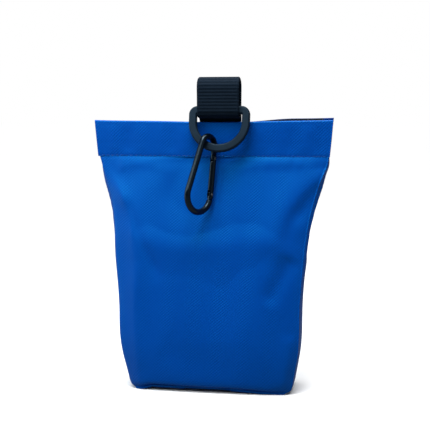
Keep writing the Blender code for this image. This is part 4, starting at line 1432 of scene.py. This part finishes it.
def clip_slant():
    return math.asin((FOOT_R - NECK_R) / NECK_TO_FOOT)


def gate_local():
    """The gate's frame, seen from the carabiner's."""
    tilt = clip_slant()
    x = NECK_R * math.cos(tilt)
    z = NECK_R * math.sin(tilt)
    x += math.sin(tilt) * (GATE_FROM + z) / math.cos(tilt)
    return Matrix.Translation((x, 0.0, -GATE_FROM)) @ Matrix.Rotation(-tilt, 4, "Y")


def wire_ring(centre, out, half_in, half_across, limit, count=32):
    turn = 2 * math.pi * (np.arange(count) + 0.5) / count
    a = half_in * np.cos(turn)
    b = np.clip(half_across * np.sin(turn), -limit, limit)
    return np.stack([centre[0] + out[0] * a, b, centre[1] + out[1] * a], -1)


def round_ring(centre, out, radius=WIRE_R):
    return wire_ring(centre, out, radius, radius, WIRE_R)


def direction(degrees):
    return math.cos(math.radians(degrees)), math.sin(math.radians(degrees))


def carabiner_rings():
    """Rings along the bent wire, from the tongue in the gate's top end round to the latch tongue."""
    hinge = gate_local()
    tilt = clip_slant()

    def on_gate(s):
        p = hinge @ Vector((0.0, 0.0, -s))
        return (p.x, p.z)

    line = (math.cos(tilt), math.sin(tilt))
    turn = math.degrees(tilt)
    rings = []
    for s, wide in HINGE_TONGUE:
        rings.append(wire_ring(on_gate(s), line, wide, WIRE_R, TONGUE_HALF))
    rings.append(wire_ring(on_gate(-SHOULDER_TOP), line, TONGUE_WIDE, WIRE_R, TONGUE_HALF))
    rings.append(round_ring(on_gate(-SHOULDER_TOP - 0.00005), line, WIRE_R * 0.90))
    rings.append(round_ring(on_gate(-SHOULDER_TOP - 0.00025), line))
    for t in np.linspace(turn, 180 - turn, 44):
        out = direction(t)
        rings.append(round_ring((out[0] * NECK_R, out[1] * NECK_R), out))
    nose = on_gate(SHOULDER_FOOT)
    stop = math.degrees(math.atan2(nose[1] + NECK_TO_FOOT, nose[0])) + 360
    straight = NECK_TO_FOOT * math.cos(tilt)
    out = direction(180 - turn)
    down = (out[1], -out[0])
    down = down if down[1] < 0 else (-down[0], -down[1])
    for k in np.linspace(0, 1, 12)[1:-1]:
        at = (out[0] * NECK_R + down[0] * straight * k, out[1] * NECK_R + down[1] * straight * k)
        rings.append(round_ring(at, out))
    for t in np.linspace(180 - turn, stop, 60):
        out = direction(t)
        rings.append(round_ring((out[0] * FOOT_R, out[1] * FOOT_R - NECK_TO_FOOT), out))
    rings.append(round_ring(on_gate(SHOULDER_FOOT - 0.00010), line, WIRE_R * 0.90))
    for s, wide in LATCH_TONGUE:
        rings.append(wire_ring(on_gate(s), line, wide, WIRE_R, TONGUE_HALF))
    return rings


def transformed(rings, place):
    m = np.array(place)
    rings = np.asarray(rings)
    return rings @ m[:3, :3].T + m[:3, 3]


def cutter(place, low, high):
    xs = ((low[0], low[1]), (high[0], low[1]), (high[0], high[1]), (low[0], high[1]))
    rings = [[(x, y, z) for x, y in xs] for z in (low[2], high[2])]
    return loft_object("cutter", transformed(rings, place), MATS["clip"])


def cut(obj, tools):
    for tool in tools:
        mod = obj.modifiers.new("cut", "BOOLEAN")
        mod.operation = "DIFFERENCE"
        mod.solver = "EXACT"
        mod.object = tool
    apply_modifiers(obj)
    for tool in tools:
        bpy.data.objects.remove(tool)
    edge = obj.modifiers.new("edge", "BEVEL")
    edge.width = 0.00011
    edge.segments = 2
    edge.limit_method = "ANGLE"
    edge.angle_limit = math.radians(42)
    apply_modifiers(obj)
    obj.data.polygons.foreach_set("use_smooth", np.ones(len(obj.data.polygons), bool))
    obj.data.set_sharp_from_angle(angle=math.radians(38))


def build_carabiner():
    place = clip_matrix()
    gate = place @ gate_local()
    body = loft_object("carabiner_wire", transformed(carabiner_rings(), place), MATS["clip"])
    side = LATCH_R + 0.00025
    cut(body, [cutter(gate, (-0.004, -0.004, -LATCH_AT - side), (side, 0.004, -LATCH_AT + side))])
    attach(body, "carabiner")
    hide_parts("carabiner_frame")
    r = GATE_R
    profile = [(GATE_TAIL - 0.0011 + 0.0011 * math.sin(t), r * (0.55 + 0.45 * math.cos(t)))
               for t in np.radians(np.linspace(80, 0, 9))]
    profile += [(z, r) for z in np.linspace(0.0004, 0.0014 - GATE_LONG, 14)]
    profile += [(-GATE_LONG + 0.0009 - 0.0009 * math.sin(t), r * (0.65 + 0.35 * math.cos(t)))
                for t in np.radians(np.linspace(10, 85, 8))]
    turn = 2 * math.pi * (np.arange(32) + 0.5) / 32
    rings = [np.stack([q * np.cos(turn), q * np.sin(turn), np.full(32, z)], -1) for z, q in profile]
    lever = loft_object("carabiner_gate_lever", transformed(rings, gate), MATS["clip"])
    wide = 0.004
    cut(lever, [
        cutter(gate, (-wide, -SLOT_HALF, -0.0022), (wide, SLOT_HALF, wide)),
        cutter(gate, (-wide, -SLOT_HALF, -GATE_LONG - wide), (wide, SLOT_HALF, -0.0185)),
    ])
    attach(lever, "gate")
    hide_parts("carabiner_gate")
    for name, down, radius, body_name in RIVETS:
        where = gate @ Matrix.Translation((0.0, 0.0, -down)) if down else gate
        for tag, s in (("a", -1), ("b", 1)):
            dome = []
            for t in np.radians([0, 18, 36, 54, 72, 86]):
                q = radius * math.cos(t)
                y = s * (GATE_R - 0.00012 + 0.00032 * math.sin(t))
                turn = 2 * math.pi * np.arange(24) / 24
                dome.append(np.stack([q * np.cos(turn), np.full(24, y), q * np.sin(turn)], -1))
            head = loft_object(f"{name}_{tag}", transformed(dome, where), MATS["pin"], sharp=60)
            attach(head, body_name)


def dress_nodes():
    """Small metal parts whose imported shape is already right."""
    dress = {
        "frame_pin_left": "spring", "frame_pin_right": "spring", "gate_hinge_pin": "pin",
        "gate_latch_pin": "pin", "gate_plunger": "pin", "gate_spring": "spring",
    }
    for name, key in dress.items():
        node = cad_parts[name]
        for slot in node.material_slots:
            slot.material = MATS[key]


# --- camera, light and floor ---
def bearing(azimuth, height):
    """Unit vector from the object towards a place; azimuth 0 is the front, in degrees."""
    a, e = math.radians(azimuth), math.radians(height)
    return Vector((math.sin(a) * math.cos(e), -math.cos(a) * math.cos(e), math.sin(e)))


def aim(obj, target, away, distance):
    obj.location = target + away * distance
    obj.rotation_mode = "QUATERNION"
    obj.rotation_quaternion = (-away).to_track_quat("-Z", "Y")


def build_camera():
    azimuth = math.radians(VIEW_AZIMUTH)
    sideways = Vector((math.cos(azimuth), math.sin(azimuth), 0.0))
    target = Vector((0.0, 0.0, LOOK_AT_Z)) + sideways * LOOK_ASIDE
    data = bpy.data.cameras.new("camera")
    data.lens = LENS
    data.sensor_width = 36.0
    camera = link(bpy.data.objects.new("camera", data))
    aim(camera, target, bearing(VIEW_AZIMUTH, VIEW_ELEVATION), VIEW_DISTANCE)
    bpy.context.scene.camera = camera


def soft_light(name, azimuth, height, distance, width, tall, watts, color):
    data = bpy.data.lights.new(name, "AREA")
    data.shape = "RECTANGLE"
    data.size = width
    data.size_y = tall
    data.energy = watts
    data.color = color
    lamp = link(bpy.data.objects.new(name, data))
    aim(lamp, LAMP_AIM, bearing(azimuth, height), distance)


def build_studio():
    world = bpy.data.worlds.new("studio")
    world.use_nodes = True
    bpy.context.scene.world = world
    tree = world.node_tree
    back = tree.nodes["Background"]
    path = tree.nodes.new("ShaderNodeLightPath")
    mix = tree.nodes.new("ShaderNodeMix")
    mix.data_type = "FLOAT"
    mix.inputs[2].default_value = AMBIENT
    mix.inputs[3].default_value = BACKDROP
    tree.links.new(path.outputs["Is Camera Ray"], mix.inputs[0])
    tree.links.new(mix.outputs[0], back.inputs["Strength"])
    back.inputs["Color"].default_value = (1.0, 1.0, 1.0, 1.0)
    for lamp in LAMPS:
        soft_light(*lamp)
    sun = bpy.data.lights.new("top", "SUN")
    sun.energy = SUN_STRENGTH
    sun.angle = SUN_WIDTH
    link(bpy.data.objects.new("top", sun)).location = (0.0, 0.0, 1.0)
    mesh = bpy.data.meshes.new("floor")
    size = FLOOR_SIZE
    corners = [(-size, -size, 0), (size, -size, 0), (size, size, 0), (-size, size, 0)]
    mesh.from_pydata(corners, [], [(0, 1, 2, 3)])
    floor = link(bpy.data.objects.new("floor", mesh))
    p = Paint("floor_pale")
    place = p.place()
    tone = p.range(p.noise(place, 3.0, 3.0), 0.93, 0.95)
    seen = p.node("ShaderNodeLightPath")
    tone = p.times(tone, p.spread(seen, 0.0, 1.0, FLOOR_BOUNCE, 1.0))
    mesh.materials.append(p.set(Base_Color=tone, Roughness=0.9, Specular_IOR_Level=0.1))
    scene = bpy.context.scene
    scene.view_settings.view_transform = "Standard"


# --- everything ---
MATS = {
    "shell": shell_material("shell_weave", BLUE_DEEP, BLUE, 0.75),
    "casing": shell_material("casing_weave", BLUE_DEEP, CASING_BLUE, 0.62),
    "lining": lining_material(),
    "webbing": webbing_material(),
    "ring": ring_material(),
    "clip": clip_material(),
    "spring": steel_material("spring_steel", SPRING_STEEL, 0.22, 0.42),
    "pin": steel_material("pin_steel", PIN_STEEL, 0.18, 0.34),
    "thread": thread_material("thread_blue", BLUE_THREAD),
    "dark_thread": thread_material("thread_black", BLACK_THREAD),
}
build_camera()
build_studio()
front_shift, back_shift, side_shift_grid = drape()
front_grid = build_wall(-1, front_shift)
back_grid = build_wall(1, back_shift)
build_gusset(side_shift_grid, front_grid, back_grid)
build_strip(-1)
build_strip(1)
build_webbing()
build_ring()
build_carabiner()
dress_nodes()
